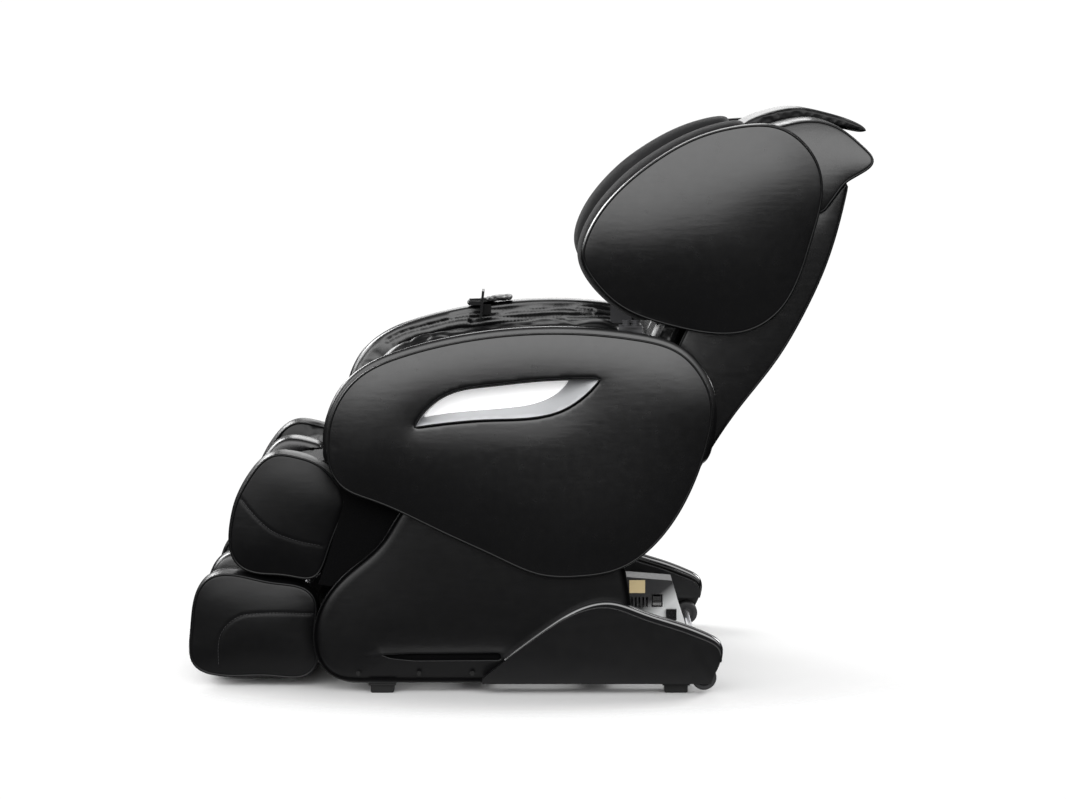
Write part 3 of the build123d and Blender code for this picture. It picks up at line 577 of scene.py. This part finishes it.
def leather(name, colour, roughness, shine=0.5):
    """Fine pores, faint cross creases and a slow unevenness of the padding beneath."""
    look = Look(name, colour, roughness, Specular_IOR_Level=shine)
    look.colour(look.ramp(look.noise(9, 3), colour, tuple(c * 1.15 + 0.0003 for c in colour)))
    look.rough(look.ramp(look.noise(60, 4), roughness - 0.015, roughness + 0.025))
    look.bump(look.noise(16, 2), 0.0002, 0.5)
    look.bump(look.noise(110, 4, stretch=(1, 0.22, 1)), 0.00034, 0.5)
    look.bump(look.ramp(look.cells(850), 0, 1, at=(0.0, 0.25)), 0.00004, 0.4)
    return look.material


def fabric(name, colour):
    """Close knit with a little sheen."""
    look = Look(name, colour, 0.80, Specular_IOR_Level=0.2, Sheen_Weight=0.08,
                Sheen_Roughness=0.4)
    look.colour(look.ramp(look.noise(600, 2), colour, tuple(c * 1.7 for c in colour)))
    look.bump(look.noise(35, 4, 0.5), 0.0008, 0.5)
    look.bump(look.cells(420), 0.0012, 0.6)
    return look.material


def moulding(name, colour, roughness, grain=1500, coat=0.0, shine=0.5):
    """Moulded plastic or rubber, paler along its edges."""
    look = Look(name, colour, roughness, Coat_Weight=coat, Coat_Roughness=0.04,
                Specular_IOR_Level=shine)
    look.wear(colour, tuple(c * 1.4 + 0.002 for c in colour))
    look.rough(look.ramp(look.noise(40, 4), max(0.03, roughness - 0.02), roughness + 0.02))
    look.bump(look.noise(grain, 2), 0.00003, 0.5 if roughness > 0.2 else 0.05)
    return look.material


def metal(name, colour, roughness, brush=None, peel=0.0, metallic=1.0):
    """Brushed plating, or paint with orange peel, worn along its edges."""
    look = Look(name, colour, roughness, Metallic=metallic)
    look.wear(colour, tuple(min(1, c * 1.4 + 0.03) for c in colour))
    look.rough(look.ramp(look.noise(120, 4, stretch=brush), roughness - 0.06, roughness + 0.1))
    if peel:
        look.bump(look.noise(700, 3), peel, 0.5)
    else:
        look.bump(look.noise(900, 2, stretch=brush), 0.00003, 0.4)
    return look.material


def box_coat_with_shade(name, dark, light, roughness):
    """Light grey powder coat with painted shade: dark at the top and front, where the side cover shades it, and
    light at the bottom and rear.
    """
    look = Look(name, light, roughness)
    low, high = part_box("power_box")
    place = look.node("ShaderNodeSeparateXYZ")
    look.link(look.place, place.inputs[0])
    back, up = (
        look.math("MULTIPLY", look.math("SUBTRACT", place.outputs[axis], start), 1 / (end - start))
        for axis, start, end in (("Y", low.y, high.y), ("Z", low.z, high.z)))
    # Painted shade: the blend darkens the box towards its top and front.
    blend = look.math("SUBTRACT", look.math("ADD", back, 0.55), up)
    look.colour(look.ramp(blend, dark, light, at=(0.45, 0.85)))
    look.rough(look.ramp(look.noise(120, 4), roughness - 0.05, roughness + 0.06))
    look.bump(look.noise(700, 3), 0.00008, 0.5)
    return look.material


LOOKS = {
    "leather_black": leather("Leather", (0.0022, 0.0022, 0.0024), 0.25),
    "fabric_charcoal": fabric("Knit", (0.0045, 0.0045, 0.0048)),
    "silver_liner": moulding("Silver moulding", (0.36, 0.365, 0.375), 0.32, coat=0.1),
    "gloss_black": moulding("Piano black", (0.004, 0.004, 0.0045), 0.06, coat=1.0),
    "moulded_black": moulding("Black moulding", (0.0020, 0.0020, 0.0022), 0.30, shine=0.25),
    "frame_steel": metal("Powder coat", (0.016, 0.0165, 0.0175), 0.42, peel=0.0001, metallic=0.0),
    "plated_steel": metal("Zinc plate", (0.60, 0.60, 0.62), 0.30, brush=(1, 8, 8)),
    "actuator_grey": metal("Satin paint", (0.14, 0.145, 0.15), 0.38, peel=0.00006, metallic=0.0),
    "rubber_black": moulding("Rubber", (0.004, 0.004, 0.004), 0.60, grain=900, shine=0.16),
    "wheel_grey": moulding("Wheel rubber", (0.018, 0.018, 0.019), 0.55, grain=900, shine=0.3),
    # The mains box's grey carries painted shade at its top and front.
    "box_grey": box_coat_with_shade("Mains box", (0.012, 0.012, 0.013), (0.62, 0.63, 0.63), 0.40),
    "plate_tan": moulding("Plate", (0.50, 0.40, 0.22), 0.35),
    "switch_black": moulding("Switch", (0.012, 0.012, 0.012), 0.2),
    "head_tan": moulding("Acetal", (0.50, 0.42, 0.30), 0.35),
    "coupling_dark": moulding("Fitting", (0.035, 0.035, 0.037), 0.22),
}
THREAD = moulding("Thread", (0.016, 0.016, 0.017), 0.6)
# Painted light: the pocket floor glows a little through emission, though it is no lamp.
GLOWING_POCKET_FLOOR = moulding("Glowing pocket floor", (0.93, 0.93, 0.93), 0.25)
# Painted shade: a darker, less shiny copy of the same leather, for the pieces that stand darker in the light.
DIMMED_LEATHER = leather("Leather dimmed for shade", (0.0016, 0.0016, 0.0018), 0.33, shine=0.22)
# Painted shade: near-black felt with no sheen and almost no shine, for parts that stand in deep shade.
SHADE_FELT = fabric("Felt blackened for shade", (0.0012, 0.0012, 0.0013))
# Gives the pocket floor its glow (painted light) and takes the felt's sheen and shine away (painted shade).
for look, key, value in ((GLOWING_POCKET_FLOOR, "Emission Color", (1, 1, 1, 1)), (GLOWING_POCKET_FLOOR, "Emission Strength", 0.35),
                         (SHADE_FELT, "Sheen Weight", 0.0), (SHADE_FELT, "Specular IOR Level", 0.04)):
    look.node_tree.nodes["Principled BSDF"].inputs[key].default_value = value

SLOT_OF = {part["node"]: part["material_slot"] for part in frame["record"]["subparts"]}
for node, cad in frame["nodes"].items():
    cad.data.materials.clear()
    cad.data.materials.append(LOOKS[SLOT_OF[node]])
frame["nodes"]["cover_screws"].data.materials[0] = LOOKS["rubber_black"]
# Painted shade: the seat valances are near-black felt, for the shadow between the calf unit and the side covers.
frame["nodes"]["seat_valances"].data.materials[0] = SHADE_FELT


def pad(name, form, body, node, cap, slack=0.0, slot="leather_black"):
    """Padded piece in a CAD node's place, to be inflated with no point moving past cap."""
    obj = piece(name, form, LOOKS[slot], body, (node,))
    SOFT.append((obj, form, cap, slack))
    return obj


# Piping is made in the darker copy of the leather: painted shade.
def piping(name, path, body, radius=PIPING_R, closed=True):
    return piece(name, tube(path, radius, closed), DIMMED_LEATHER, body)


# ---- Arms -------------------------------------------------
arm_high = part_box("arm_pod_left")[1].x
arm_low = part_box("arm_pod_left")[0].x
panel_low = 0.350     # where the arm's outer panel meets its roll
pocket_back = 0.3315
forearm_low = 0.240
arm_loop, pocket_loop = loops_at("arm_pod_left", arm_high)[:2]
roll_loop = loops_at("arm_pod_left", arm_low)[0]
pocket_edge = resampled(pocket_loop, 0.004)
pocket_edge = pocket_edge + outward(pocket_edge) * 0.0015

panel_form = bolster(arm_loop, panel_low + 0.001, arm_high + 0.002, corner=0.004,
                     crown=(0.0, 0.018), belly=0, start=0.0005, reach=0.050, hole=pocket_edge)
arm_panel = pad("arm_panel_left", panel_form, "seat", "arm_pod_left", cap=0.003)
roll_form = bolster(roll_loop, arm_low, panel_low + 0.001, corner=0.015, crown=(0.003, 0.0),
                    belly=0, start=0.001, hole=pocket_edge, floor=pocket_back)
arm_roll = pad("arm_roll_left", roll_form, "seat", "arm_pod_left", cap=0.004)
forearm_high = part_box("forearm_pads")[1].x
forearm_loop = loops_at("forearm_pads", forearm_high)[0]
forearm_form = bolster(forearm_loop, forearm_low, forearm_high, corner=0.018, crown=(0.008, 0.003),
                       belly=0.004, start=0.003)
forearm = pad("forearm_pad_left", forearm_form, "seat", "forearm_pads", cap=0.007, slack=0.05)

strap_form = bolster(loops_at("holder_strap", -arm_low)[0], -panel_low - 0.001, -arm_low + 0.001,
                     corner=0.0015, crown=(0.0, 0.0), belly=0.002, step=0.004, start=-0.0015)
strap = pad("holder_strap", strap_form, "seat", "holder_strap", cap=0.003, slack=0.08)

# ---- Wings, head and back ---------------------------------
wing_low, wing_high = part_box("wing_left")[0].x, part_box("wing_left")[1].x
wing_loop = loops_at("wing_left", wing_high)[0]
wing_form = bolster(wing_loop, wing_low, wing_high + 0.012, corner=0.005, crown=(0.002, 0.044),
                    belly=0.006, start=0.001, reach=0.135)
wing = pad("wing_left", wing_form, "back", "wing_left", cap=0.004)
wing_pad_low, wing_pad_high = 0.190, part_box("wing_pads")[1].x
wing_pad_loop = loops_at("wing_pads", wing_pad_high)[0]
wing_pad_form = bolster(wing_pad_loop, wing_pad_low, wing_pad_high, corner=0.024,
                        crown=(0.008, 0.002), belly=0.003, start=0.002)
wing_pad = pad("wing_pad_left", wing_pad_form, "back", "wing_pads", cap=0.004,
               slot="fabric_charcoal")

cap_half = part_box("head_cap")[1].x
cap_form = bolster(loops_at("head_cap", cap_half)[0], -cap_half - 0.006, cap_half + 0.006,
                   corner=0.006, crown=(0.004, 0.004), belly=0.004, start=-0.002, step=0.006,
                   reach=0.030)
cap_top, wing_back = max(point[2] for point in cap_form.points), wing_loop[:, 0].max()
CAP_SLOPE = 0.32      # lean of the head cap's sides 30 mm under its top, as a slope
CAP_UPRIGHT = 0.28    # twice the drop from there at which they stand upright again


def flared(point):
    """Leans the sides of the head cap out towards their lower edge, behind the wings."""
    x, y, z = point
    side = min(max((abs(x) - cap_half + 0.040) / 0.030, 0), 1)      # 1 on the sides, 0 between
    clear = min(max((y - wing_back + 0.130) / 0.060, 0), 1)         # 0 inside the wings
    drop = cap_top - z - 0.03
    lean = copysign(1, x) * CAP_SLOPE * drop * (1 - drop / CAP_UPRIGHT) * side * clear ** 2
    return (x + lean, y, z)


cap_form.points = [flared(point) for point in cap_form.points]
cap_form.high_edge = np.array([flared(point) for point in cap_form.high_edge])
pad("head_cap", cap_form, "back", "head_cap", cap=0.003)
back_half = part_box("back_pad")[1].x
back_form = bolster(loops_at("back_pad", back_half)[0], -back_half, back_half, corner=0.014,
                    crown=(0.002, 0.002), belly=0.002, start=0.002, step=0.010)
back_pad = pad("back_pad", back_form, "back", "back_pad", cap=0.005, slack=0.02)
pillow_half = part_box("head_pillow")[1].x
pillow_form = bolster(loops_at("head_pillow", pillow_half)[0], -pillow_half, pillow_half,
                      corner=0.024, crown=(0.008, 0.008), belly=0.003, start=0.004)
pad("head_pillow", pillow_form, "back", "head_pillow", cap=0.008, slack=0.05)
flap_half = 0.105
flap_form = bolster(loops_at("head_pillow", flap_half)[0], -flap_half, flap_half, corner=0.004,
                    crown=(0.002, 0.002), belly=0, start=0.001, step=0.006)
flap = pad("pillow_flap", flap_form, "back", "head_pillow", cap=0.004, slack=0.04)
shell_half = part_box("back_shell")[1].x
shell_form = bolster(loops_at("back_shell", shell_half)[0], -shell_half, shell_half, corner=0.007,
                     crown=(0.004, 0.004), belly=0, start=-0.002, step=0.010, reach=0.050)
shell = pad("back_shell_cover", shell_form, "back", "back_shell", cap=0.002)

# ---- Seat, leg rest and lower sides -----------------------
seat_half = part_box("seat_cushion")[1].x
seat_form = bolster(loops_at("seat_cushion", seat_half)[0], -seat_half, seat_half, corner=0.014,
                    crown=(0.004, 0.004), belly=0.003, start=0.003, step=0.009)
seat = pad("seat_cushion", seat_form, "seat", "seat_cushion", cap=0.008, slack=0.03)

calf_low = min(v[0] for v in joined("calf_walls")[0] if v[0] > 0.1)
calf_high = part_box("calf_walls")[1].x
calf_form = bolster(loops_at("calf_walls", calf_high)[0], calf_low, calf_high, corner=0.006,
                    crown=(0.008, 0.014), belly=0.005, start=0.002, reach=0.040)
calf_wall = pad("calf_wall_left", calf_form, "calf", "calf_walls", cap=0.005)
divider_half = 0.043
calf_mid_form = bolster(loops_at("calf_walls", divider_half)[0], -divider_half, divider_half,
                        corner=0.012, crown=(0.006, 0.006), belly=0.002, start=0.002)
pad("calf_divider", calf_mid_form, "calf", "calf_walls", cap=0.005)
calf_pad_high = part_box("calf_pads")[1].x
calf_pad_form = bolster(loops_at("calf_pads", calf_pad_high)[0], divider_half - 0.006,
                        calf_pad_high + 0.008, corner=0.008, crown=(0.001, 0.001), belly=0.002,
                        start=0.001)
calf_pad = pad("calf_pad_left", calf_pad_form, "calf", "calf_pads", cap=0.004,
               slot="fabric_charcoal")

foot_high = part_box("foot_walls")[1].x
foot_form = bolster(loops_at("foot_walls", foot_high)[0], calf_low, foot_high, corner=0.006,
                    crown=(0.006, 0.012), belly=0.004, start=0.002, reach=0.040)
foot_wall = pad("foot_wall_left", foot_form, "foot", "foot_walls", cap=0.004)
foot_mid_form = bolster(loops_at("foot_walls", divider_half)[0], -divider_half, divider_half,
                        corner=0.012, crown=(0.006, 0.006), belly=0.002, start=0.002)
pad("foot_divider", foot_mid_form, "foot", "foot_walls", cap=0.004)
foot_pad_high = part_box("foot_pads")[1].x
foot_pad_form = bolster(loops_at("foot_pads", foot_pad_high)[0], divider_half + 0.001,
                        foot_pad_high, corner=0.008, crown=(0.001, 0.001), belly=0.002,
                        start=0.001)
foot_pad = pad("foot_pad_left", foot_pad_form, "foot", "foot_pads", cap=0.003,
               slot="fabric_charcoal")

cover_low, cover_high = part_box("side_cover_left")[0].x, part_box("side_cover_left")[1].x
cover_loops = loops_at("side_cover_left", cover_high)
recess = shifted(resampled(cover_loops[1], 0.003), -0.003)
cover_form = bolster(cover_loops[0], cover_low, cover_high, corner=0.020, crown=(0.0, 0.006),
                     belly=0, start=0.0005, reach=0.060, step=0.0065, hole=recess,
                     floor=cover_high - 0.012, lip=0.001)
cover = pad("side_cover_left", cover_form, "base", "side_cover_left", cap=0.0015)
# Painted shade: these pieces take the darker copy of the leather.
for dimmed_piece in (cover, forearm, strap, flap, calf_wall, foot_wall):
    dimmed_piece.data.materials[0] = DIMMED_LEATHER

trim_low, trim_high = 0.3412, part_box("skirt_trims")[1].x
trim_form = bolster(loops_at("skirt_trims", trim_high)[0], trim_low, trim_high + 0.0015,
                    corner=0.0055, crown=(0.0, 0.001), belly=0, start=-0.0015, step=0.003,
                    reach=0.006)
trim = piece("skirt_trim_left", trim_form, LOOKS["gloss_black"], "base",
             ("skirt_trims",))
subdivided(trim)

inflate()
for padded, *_ in SOFT:
    subdivided(padded)

# ---- Camera, light and floor ------------------------------
CAMERA_AT, CAMERA_DOWN, LENS = (5.88, 0, 1.24), 6.75, 96.35     # metres, degrees, mm
# Brightness of the studio by a direction's height (Z), as pairs of height and brightness, times a
# factor by X and one by Y without its sign, each as from, to, factor at from and factor at to.
SKY_BY_HEIGHT = ((0.0, 0.010), (0.05, 0.11), (0.25, 0.50), (0.42, 0.56), (0.66, 0.60),
                 (0.82, 0.20), (1, 0.06))
SKY_BY_X = (-0.2, 0.5, 0.10, 1.0)
SKY_BY_Y = (0.40, 0.75, 1.0, 0.15)
SKY_STRENGTH, BACKDROP = 8.5, 1.04
FLOOR_RADIUS, FLOOR_COLOUR = 3.4, (0.55, 0.55, 0.55)
FLOOR_SQUEEZE = (2.0, 1.2, 1)             # the floor fades on an ellipse, sooner to the sides
FLOOR_FADE = (0.80, 1.25, 1.0, 0.0)
LAMPS = (                                 # name, place, aim, size, watts
    ("key", (3.0, -3.4, 2.2), (0, -0.1, 0.6), (0.9, 1.6), 30),
    ("rear", (-2.2, 3.6, 2.4), (0, 0.1, 0.6), (2.4, 1.8), 220),
    ("far", (-3.4, 0.0, 3.2), (0, 0, 0.6), (2.0, 4.2), 70),
    ("right", (-3.4, -3.0, 2.9), (0, 0, 0.6), (2.4, 1.8), 190),
    ("front", (-0.8, -4.2, 2.6), (0, 0, 0.5), (2.8, 1.6), 150),
)


def camera():
    data = bpy.data.cameras.new("Camera")
    data.sensor_width, data.lens = 36, LENS
    data.clip_end = 60
    obj = bpy.data.objects.new("Camera", data)
    obj.location = CAMERA_AT
    obj.rotation_euler = (radians(90 - CAMERA_DOWN), 0, radians(90))
    bpy.context.scene.collection.objects.link(obj)
    bpy.context.scene.camera = obj


def lamp(name, at, aim, size, power):
    data = bpy.data.lights.new(name, "AREA")
    data.shape, data.size, data.size_y, data.energy = "RECTANGLE", *size, power
    obj = bpy.data.objects.new(name, data)
    obj.location = at
    obj.rotation_euler = (Vector(aim) - Vector(at)).to_track_quat("-Z", "Y").to_euler()
    bpy.context.scene.collection.objects.link(obj)


def mapped(nodes, links, value, spans):
    """Maps a value from one range onto another, held at the ends."""
    made = nodes.new("ShaderNodeMapRange")
    for key, number in zip(("From Min", "From Max", "To Min", "To Max"), spans):
        made.inputs[key].default_value = number
    links.new(value, made.inputs["Value"])
    return made


def sky(nodes, links):
    """Colour of the studio by direction: one big softbox high on the sitter's left."""
    place = nodes.new("ShaderNodeTexCoord")
    parts = nodes.new("ShaderNodeSeparateXYZ")
    links.new(place.outputs["Generated"], parts.inputs[0])
    ramp = nodes.new("ShaderNodeValToRGB")
    elements = ramp.color_ramp.elements
    while len(elements) < len(SKY_BY_HEIGHT):
        elements.new(0.5)
    for element, (place_at, level) in zip(elements, SKY_BY_HEIGHT):
        element.position, element.color = place_at, (level, level, level, 1)
    links.new(parts.outputs["Z"], ramp.inputs["Fac"])
    side = mapped(nodes, links, parts.outputs["X"], SKY_BY_X)
    span = nodes.new("ShaderNodeMath")
    span.operation = "ABSOLUTE"
    links.new(parts.outputs["Y"], span.inputs[0])
    ends = mapped(nodes, links, span.outputs[0], SKY_BY_Y)
    both = nodes.new("ShaderNodeMath")
    both.operation = "MULTIPLY"
    links.new(side.outputs["Result"], both.inputs[0])
    links.new(ends.outputs["Result"], both.inputs[1])
    scaled = nodes.new("ShaderNodeVectorMath")
    scaled.operation = "SCALE"
    links.new(ramp.outputs["Color"], scaled.inputs[0])
    links.new(both.outputs[0], scaled.inputs["Scale"])
    return scaled.outputs["Vector"]


def studio():
    """Lamps, the sky that lights the chair and the white backdrop that the camera sees."""
    for settings in LAMPS:
        lamp(*settings)
    world = bpy.data.worlds.new("Studio")
    bpy.context.scene.world = world
    world.use_nodes = True
    nodes, links = world.node_tree.nodes, world.node_tree.links
    ambient = nodes["Background"]
    links.new(sky(nodes, links), ambient.inputs["Color"])
    ambient.inputs["Strength"].default_value = SKY_STRENGTH
    seen = nodes.new("ShaderNodeBackground")
    seen.inputs["Color"].default_value = (1, 1, 1, 1)
    seen.inputs["Strength"].default_value = BACKDROP
    mix, path = nodes.new("ShaderNodeMixShader"), nodes.new("ShaderNodeLightPath")
    links.new(path.outputs["Is Camera Ray"], mix.inputs["Fac"])
    links.new(ambient.outputs[0], mix.inputs[1])
    links.new(seen.outputs[0], mix.inputs[2])
    links.new(mix.outputs[0], nodes["World Output"].inputs["Surface"])
    bpy.context.scene.view_settings.view_transform = "Standard"


def floor():
    """Pale floor that fades into the backdrop."""
    bpy.ops.mesh.primitive_circle_add(vertices=96, radius=FLOOR_RADIUS, fill_type="NGON")
    obj = bpy.context.object
    obj.name = "floor"
    look = Look("Pale floor paint", FLOOR_COLOUR, 0.6, Specular_IOR_Level=0.2)
    look.bump(look.noise(300, 3), 0.0002, 0.2)
    length = look.node("ShaderNodeVectorMath", operation="LENGTH")
    look.link(look.stretched(FLOOR_SQUEEZE), length.inputs[0])
    fade = mapped(look.tree.nodes, look.tree.links, length.outputs["Value"], FLOOR_FADE)
    fade.interpolation_type = "SMOOTHSTEP"
    look.link(fade.outputs["Result"], look.shader.inputs["Alpha"])
    obj.data.materials.append(look.material)


camera()
studio()
floor()

# ---- Seams and piping -------------------------------------
# Directions of the rays that lay a line on a piece.
TO_RIGHT, TO_LEFT, DOWN = (-1, 0, 0), (1, 0, 0), (0, 0, -1)
TO_FRONT, TO_REAR = (0, -1, 0), (0, 1, 0)


def sewn(obj, starts, direction, depth, width, waver=0.0):
    """Draws a sewn line or fold on a piece, seen along a direction."""
    starts = np.asarray(starts, float)
    if waver:
        along = np.linspace(0, 1, len(starts))
        starts[:, 2] += waver * (np.sin(9 * along + 40 * starts[0, 2]) + 0.5 * np.sin(23 * along))
    creased(obj, laid(obj, starts, direction), depth, width)


def between(a, b):
    return np.linspace(a, b, 24)


def folded(obj, loop, folds, count, depth, width, waver):
    """Wavering folds under the top of a pad's outline, on the side towards the sitter. Each fold
    has its depth under the top and its start and end, as parts of the length."""
    top = resampled(loop, 0.004)
    top = top[outward(top)[:, 1] > 0.25]
    top = top[np.argsort(top[:, 0])]
    for inset, start, stop in folds:
        y = np.interp(np.linspace(start, stop, count), (0, 1), (top[0, 0], top[-1, 0]))
        z = np.interp(y, top[:, 0], top[:, 1]) - inset
        starts = np.stack([np.full(count, FOLD_X), y, z], axis=1)
        sewn(obj, starts, TO_LEFT, depth, width, waver)


LEG_SEAM_X, FOLD_X = 0.30, 0.230
calf_seam = smooth_line([(-0.579, 0.379), (-0.550, 0.345), (-0.521, 0.319), (-0.497, 0.307),
                         (-0.462, 0.295), (-0.418, 0.285)])
foot_seam = smooth_line([(-0.627, 0.045), (-0.627, 0.080), (-0.622, 0.107), (-0.6065, 0.1295),
                         (-0.584, 0.1447), (-0.557, 0.150), (-0.500, 0.1515), (-0.435, 0.148)])
for wall, seam, body in ((calf_wall, calf_seam, "calf"), (foot_wall, foot_seam, "foot")):
    starts = np.array([(LEG_SEAM_X, y, z) for y, z in seam])
    sewn(wall, starts, TO_RIGHT, 0.0011, 0.0029)
    thread = piece(f"{body}_thread_left", stitches(laid(wall, starts, TO_RIGHT), (0.0006, 0, 0)),
                   THREAD, body)
    mirrored(thread, f"{body}_thread_right", body)


folded(forearm, forearm_loop, ((0.013, 0.10, 0.62), (0.023, 0.34, 0.95), (0.037, 0.08, 0.72),
                               (0.056, 0.30, 0.90), (0.084, 0.16, 0.60)),
       count=70, depth=0.0032, width=0.0055, waver=0.0040)
folded(arm_roll, roll_loop, ((0.017, 0.30, 0.96), (0.027, 0.12, 0.70), (0.038, 0.36, 0.98),
                             (0.050, 0.16, 0.62), (0.063, 0.40, 0.94)),
       count=90, depth=0.0034, width=0.0050, waver=0.0026)
strap_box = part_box("holder_strap")
for y, slant in ((-0.128, 0.020), (-0.110, 0.026), (-0.090, -0.012), (-0.068, 0.016)):
    starts = between((strap_box[0].x, y, 0.8), (strap_box[1].x, y + slant, 0.8))
    sewn(strap, starts, DOWN, 0.0022, 0.0035)
seat_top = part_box("seat_cushion")[1].z
SEAT_HALF, SEAT_FRONT, SEAT_REAR = 0.145, -0.335, 0.070           # panel inside the long channels
for x in (-SEAT_HALF, SEAT_HALF):
    sewn(seat, between((x, SEAT_FRONT, seat_top), (x, SEAT_REAR, seat_top)), DOWN, 0.006, 0.006)
for y in (-0.245, -0.145, -0.045):
    sewn(seat, between((-SEAT_HALF, y, seat_top), (SEAT_HALF, y, seat_top)), DOWN, 0.0055, 0.007)
BACK_UP = Vector(JOINTS["carriage_slide"]["axis"]).normalized()
BACK_IN = Vector((0, BACK_UP.z, -BACK_UP.y))
BACK_FOOT = Vector((0, 0.118, 0.450))
BACK_CHANNEL, BACK_LOW, BACK_TOP = 0.125, -0.04, 0.50


def on_back(x, up):
    """A point in front of the back pad, at x and some way up its slope."""
    return BACK_FOOT + BACK_UP * up + Vector((x, 0, 0))


for x in (-BACK_CHANNEL, BACK_CHANNEL):
    sewn(back_pad, between(on_back(x, BACK_LOW), on_back(x, BACK_TOP)), BACK_IN, 0.006, 0.006)
for up in (0.06, 0.16, 0.26, 0.36, 0.46):
    starts = between(on_back(-BACK_CHANNEL, up), on_back(BACK_CHANNEL, up))
    sewn(back_pad, starts, BACK_IN, 0.006, 0.008)
SEAM_HALF, BEHIND, SEAM_LOW, SEAM_MID, SEAM_TOP = 0.165, 0.45, 0.430, 0.700, 0.990
shell_seams = [between((x, BEHIND, SEAM_LOW), (x, BEHIND, SEAM_TOP))
               for x in (-SEAM_HALF, SEAM_HALF)]
shell_seams.append(between((-SEAM_HALF, BEHIND, SEAM_MID), (SEAM_HALF, BEHIND, SEAM_MID)))
for number, starts in enumerate(shell_seams):
    sewn(shell, starts, TO_FRONT, 0.0030, 0.004)
    beside = (0.0035, 0, 0) if number < 2 else (0, 0, 0.0035)
    line = laid(shell, starts, TO_FRONT) + np.array(beside)
    piece(f"shell_thread_{number}", stitches(line, (0, 0.0009, 0)), THREAD, "back")
piping("cap_rear_piping", between((-0.258, 0.612, 1.006), (0.258, 0.612, 1.006)), "back", 0.0045,
       closed=False)
for z in (0.280, 0.325, 0.370):
    sewn(calf_pad, between((0.05, -0.62, z), (0.205, -0.62, z)), TO_REAR, 0.005, 0.006)
for y in (-0.625, -0.580, -0.530):
    sewn(foot_pad, between((0.05, y, 0.2), (0.200, y, 0.2)), DOWN, 0.004, 0.006)
for name, edge, body, radius in (
        ("arm_piping", panel_form.high_edge, "seat", PIPING_R),
        ("wing_piping", wing_form.high_edge, "back", PIPING_R),
        ("calf_piping", calf_form.high_edge, "calf", LEG_PIPING_R),
        ("foot_piping", foot_form.high_edge, "foot", LEG_PIPING_R),
        ("calf_inner_piping", calf_form.low_edge, "calf", PIPING_R),
        ("foot_inner_piping", foot_form.low_edge, "foot", PIPING_R),
        ("cap_piping", cap_form.high_edge, "back", PIPING_R),
        ("shell_piping", shell_form.high_edge, "back", PIPING_R)):
    left = piping(f"{name}_left", edge, body, radius)
    mirrored(left, f"{name}_right", body)

mouth = resampled(pocket_loop, 0.004)
lip = piping("pocket_lip_left", [(arm_high - 0.0005, y, z) for y, z in mouth], "seat", 0.0014)
mirrored(lip, "pocket_lip_right", "seat")


# ---- Floors of the pockets and recesses, and aprons over the hinges ----
PLATE_THICK = 0.0014


def plate(loop, x):
    """Thin plate with an eased front edge."""
    form = Form()
    rings = [form.add(x + PLATE_THICK * t, shifted(loop, grow))
             for t, grow in ((0, 0.0), (0.7, -0.0005), (1, -0.0018))]
    for inner, outer in zip(rings, rings[1:]):
        form.band(inner, outer)
    form.cap(rings[0], None, x, 0, 0.03, 0.008)
    form.cap(rings[-1], None, x + PLATE_THICK, 0, 0.03, 0.008)
    return form


cup_floor = 0.3345    # x of the grip cup's floor in the CAD
shelf_loop = relaxed(resampled(loops_at("arm_liners", cup_floor)[0], 0.004), 1)
# The pocket floor glows a little: painted light.
shelf = piece("pocket_floor_left", plate(shelf_loop, 0.3346), GLOWING_POCKET_FLOOR, "seat")
mirrored(shelf, "pocket_floor_right", "seat")
# Painted shade: the floor of each cover's finger recess is near-black felt.
recess_form = plate(relaxed(recess, 1), cover_high - 0.0115)
recess_plate = piece("recess_floor_left", recess_form, SHADE_FELT, "base")
mirrored(recess_plate, "recess_floor_right", "base")


def apron(name, path, x_low, x_high, thick, slot, seams=()):
    """Padded flap over a hinge, made in its rest place and attached to no body."""
    line = smooth_line(path, 0.003)
    away = np.gradient(line, axis=0)
    away = np.stack([-away[:, 1], away[:, 0]], axis=1) / np.linalg.norm(away, axis=1, keepdims=True)
    loop = np.vstack([line + away * thick / 2, (line - away * thick / 2)[::-1]])
    form = bolster(anticlockwise(loop), x_low, x_high, corner=thick * 0.4, crown=(0, 0), belly=0,
                   step=0.004, start=0)
    obj = made(name, form, LOOKS[slot])
    subdivided(obj)
    for y in seams:
        sewn(obj, between((x_low, y, path[1][1]), (x_high, y, path[1][1])), DOWN, 0.0020, 0.004)
    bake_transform(obj)


apron("lumbar_apron", [(0.070, 0.414), (0.084, 0.402), (0.087, 0.372), (0.097, 0.352),
                       (0.110, 0.362), (0.118, 0.390)],
      -0.226, 0.226, 0.006, "leather_black")
for name, x_low, x_high in (("knee_apron_left", 0.046, 0.210),
                            ("knee_apron_right", -0.210, -0.046)):
    apron(name, [(-0.340, 0.428), (-0.362, 0.4395), (-0.410, 0.4425), (-0.450, 0.4415),
                 (-0.482, 0.4370)],
          x_low, x_high, 0.010,
          "fabric_charcoal", (-0.395, -0.425, -0.455))

# Right-hand twins of the pads that come in pairs.
for left, body, node, fill, slot in (
        (arm_panel, "seat", "arm_pod_right", 0.8, "leather_black"),
        (arm_roll, "seat", "arm_pod_right", 0.7, "leather_black"),
        (forearm, "seat", "forearm_pads", 0.6, "leather_black"),
        (wing, "back", "wing_right", 0.8, "leather_black"),
        (wing_pad, "back", "wing_pads", 0.7, "fabric_charcoal"),
        (calf_wall, "calf", "calf_walls", 0.7, "leather_black"),
        (calf_pad, "calf", "calf_pads", 0.7, "fabric_charcoal"),
        (foot_wall, "foot", "foot_walls", 0.7, "leather_black"),
        (foot_pad, "foot", "foot_pads", 0.7, "fabric_charcoal"),
        (trim, "base", "skirt_trims", None, "gloss_black"),
        (cover, "base", "side_cover_right", 0.9, "leather_black")):
    mirrored(left, left.name.replace("_left", "_right"), body, (node,))
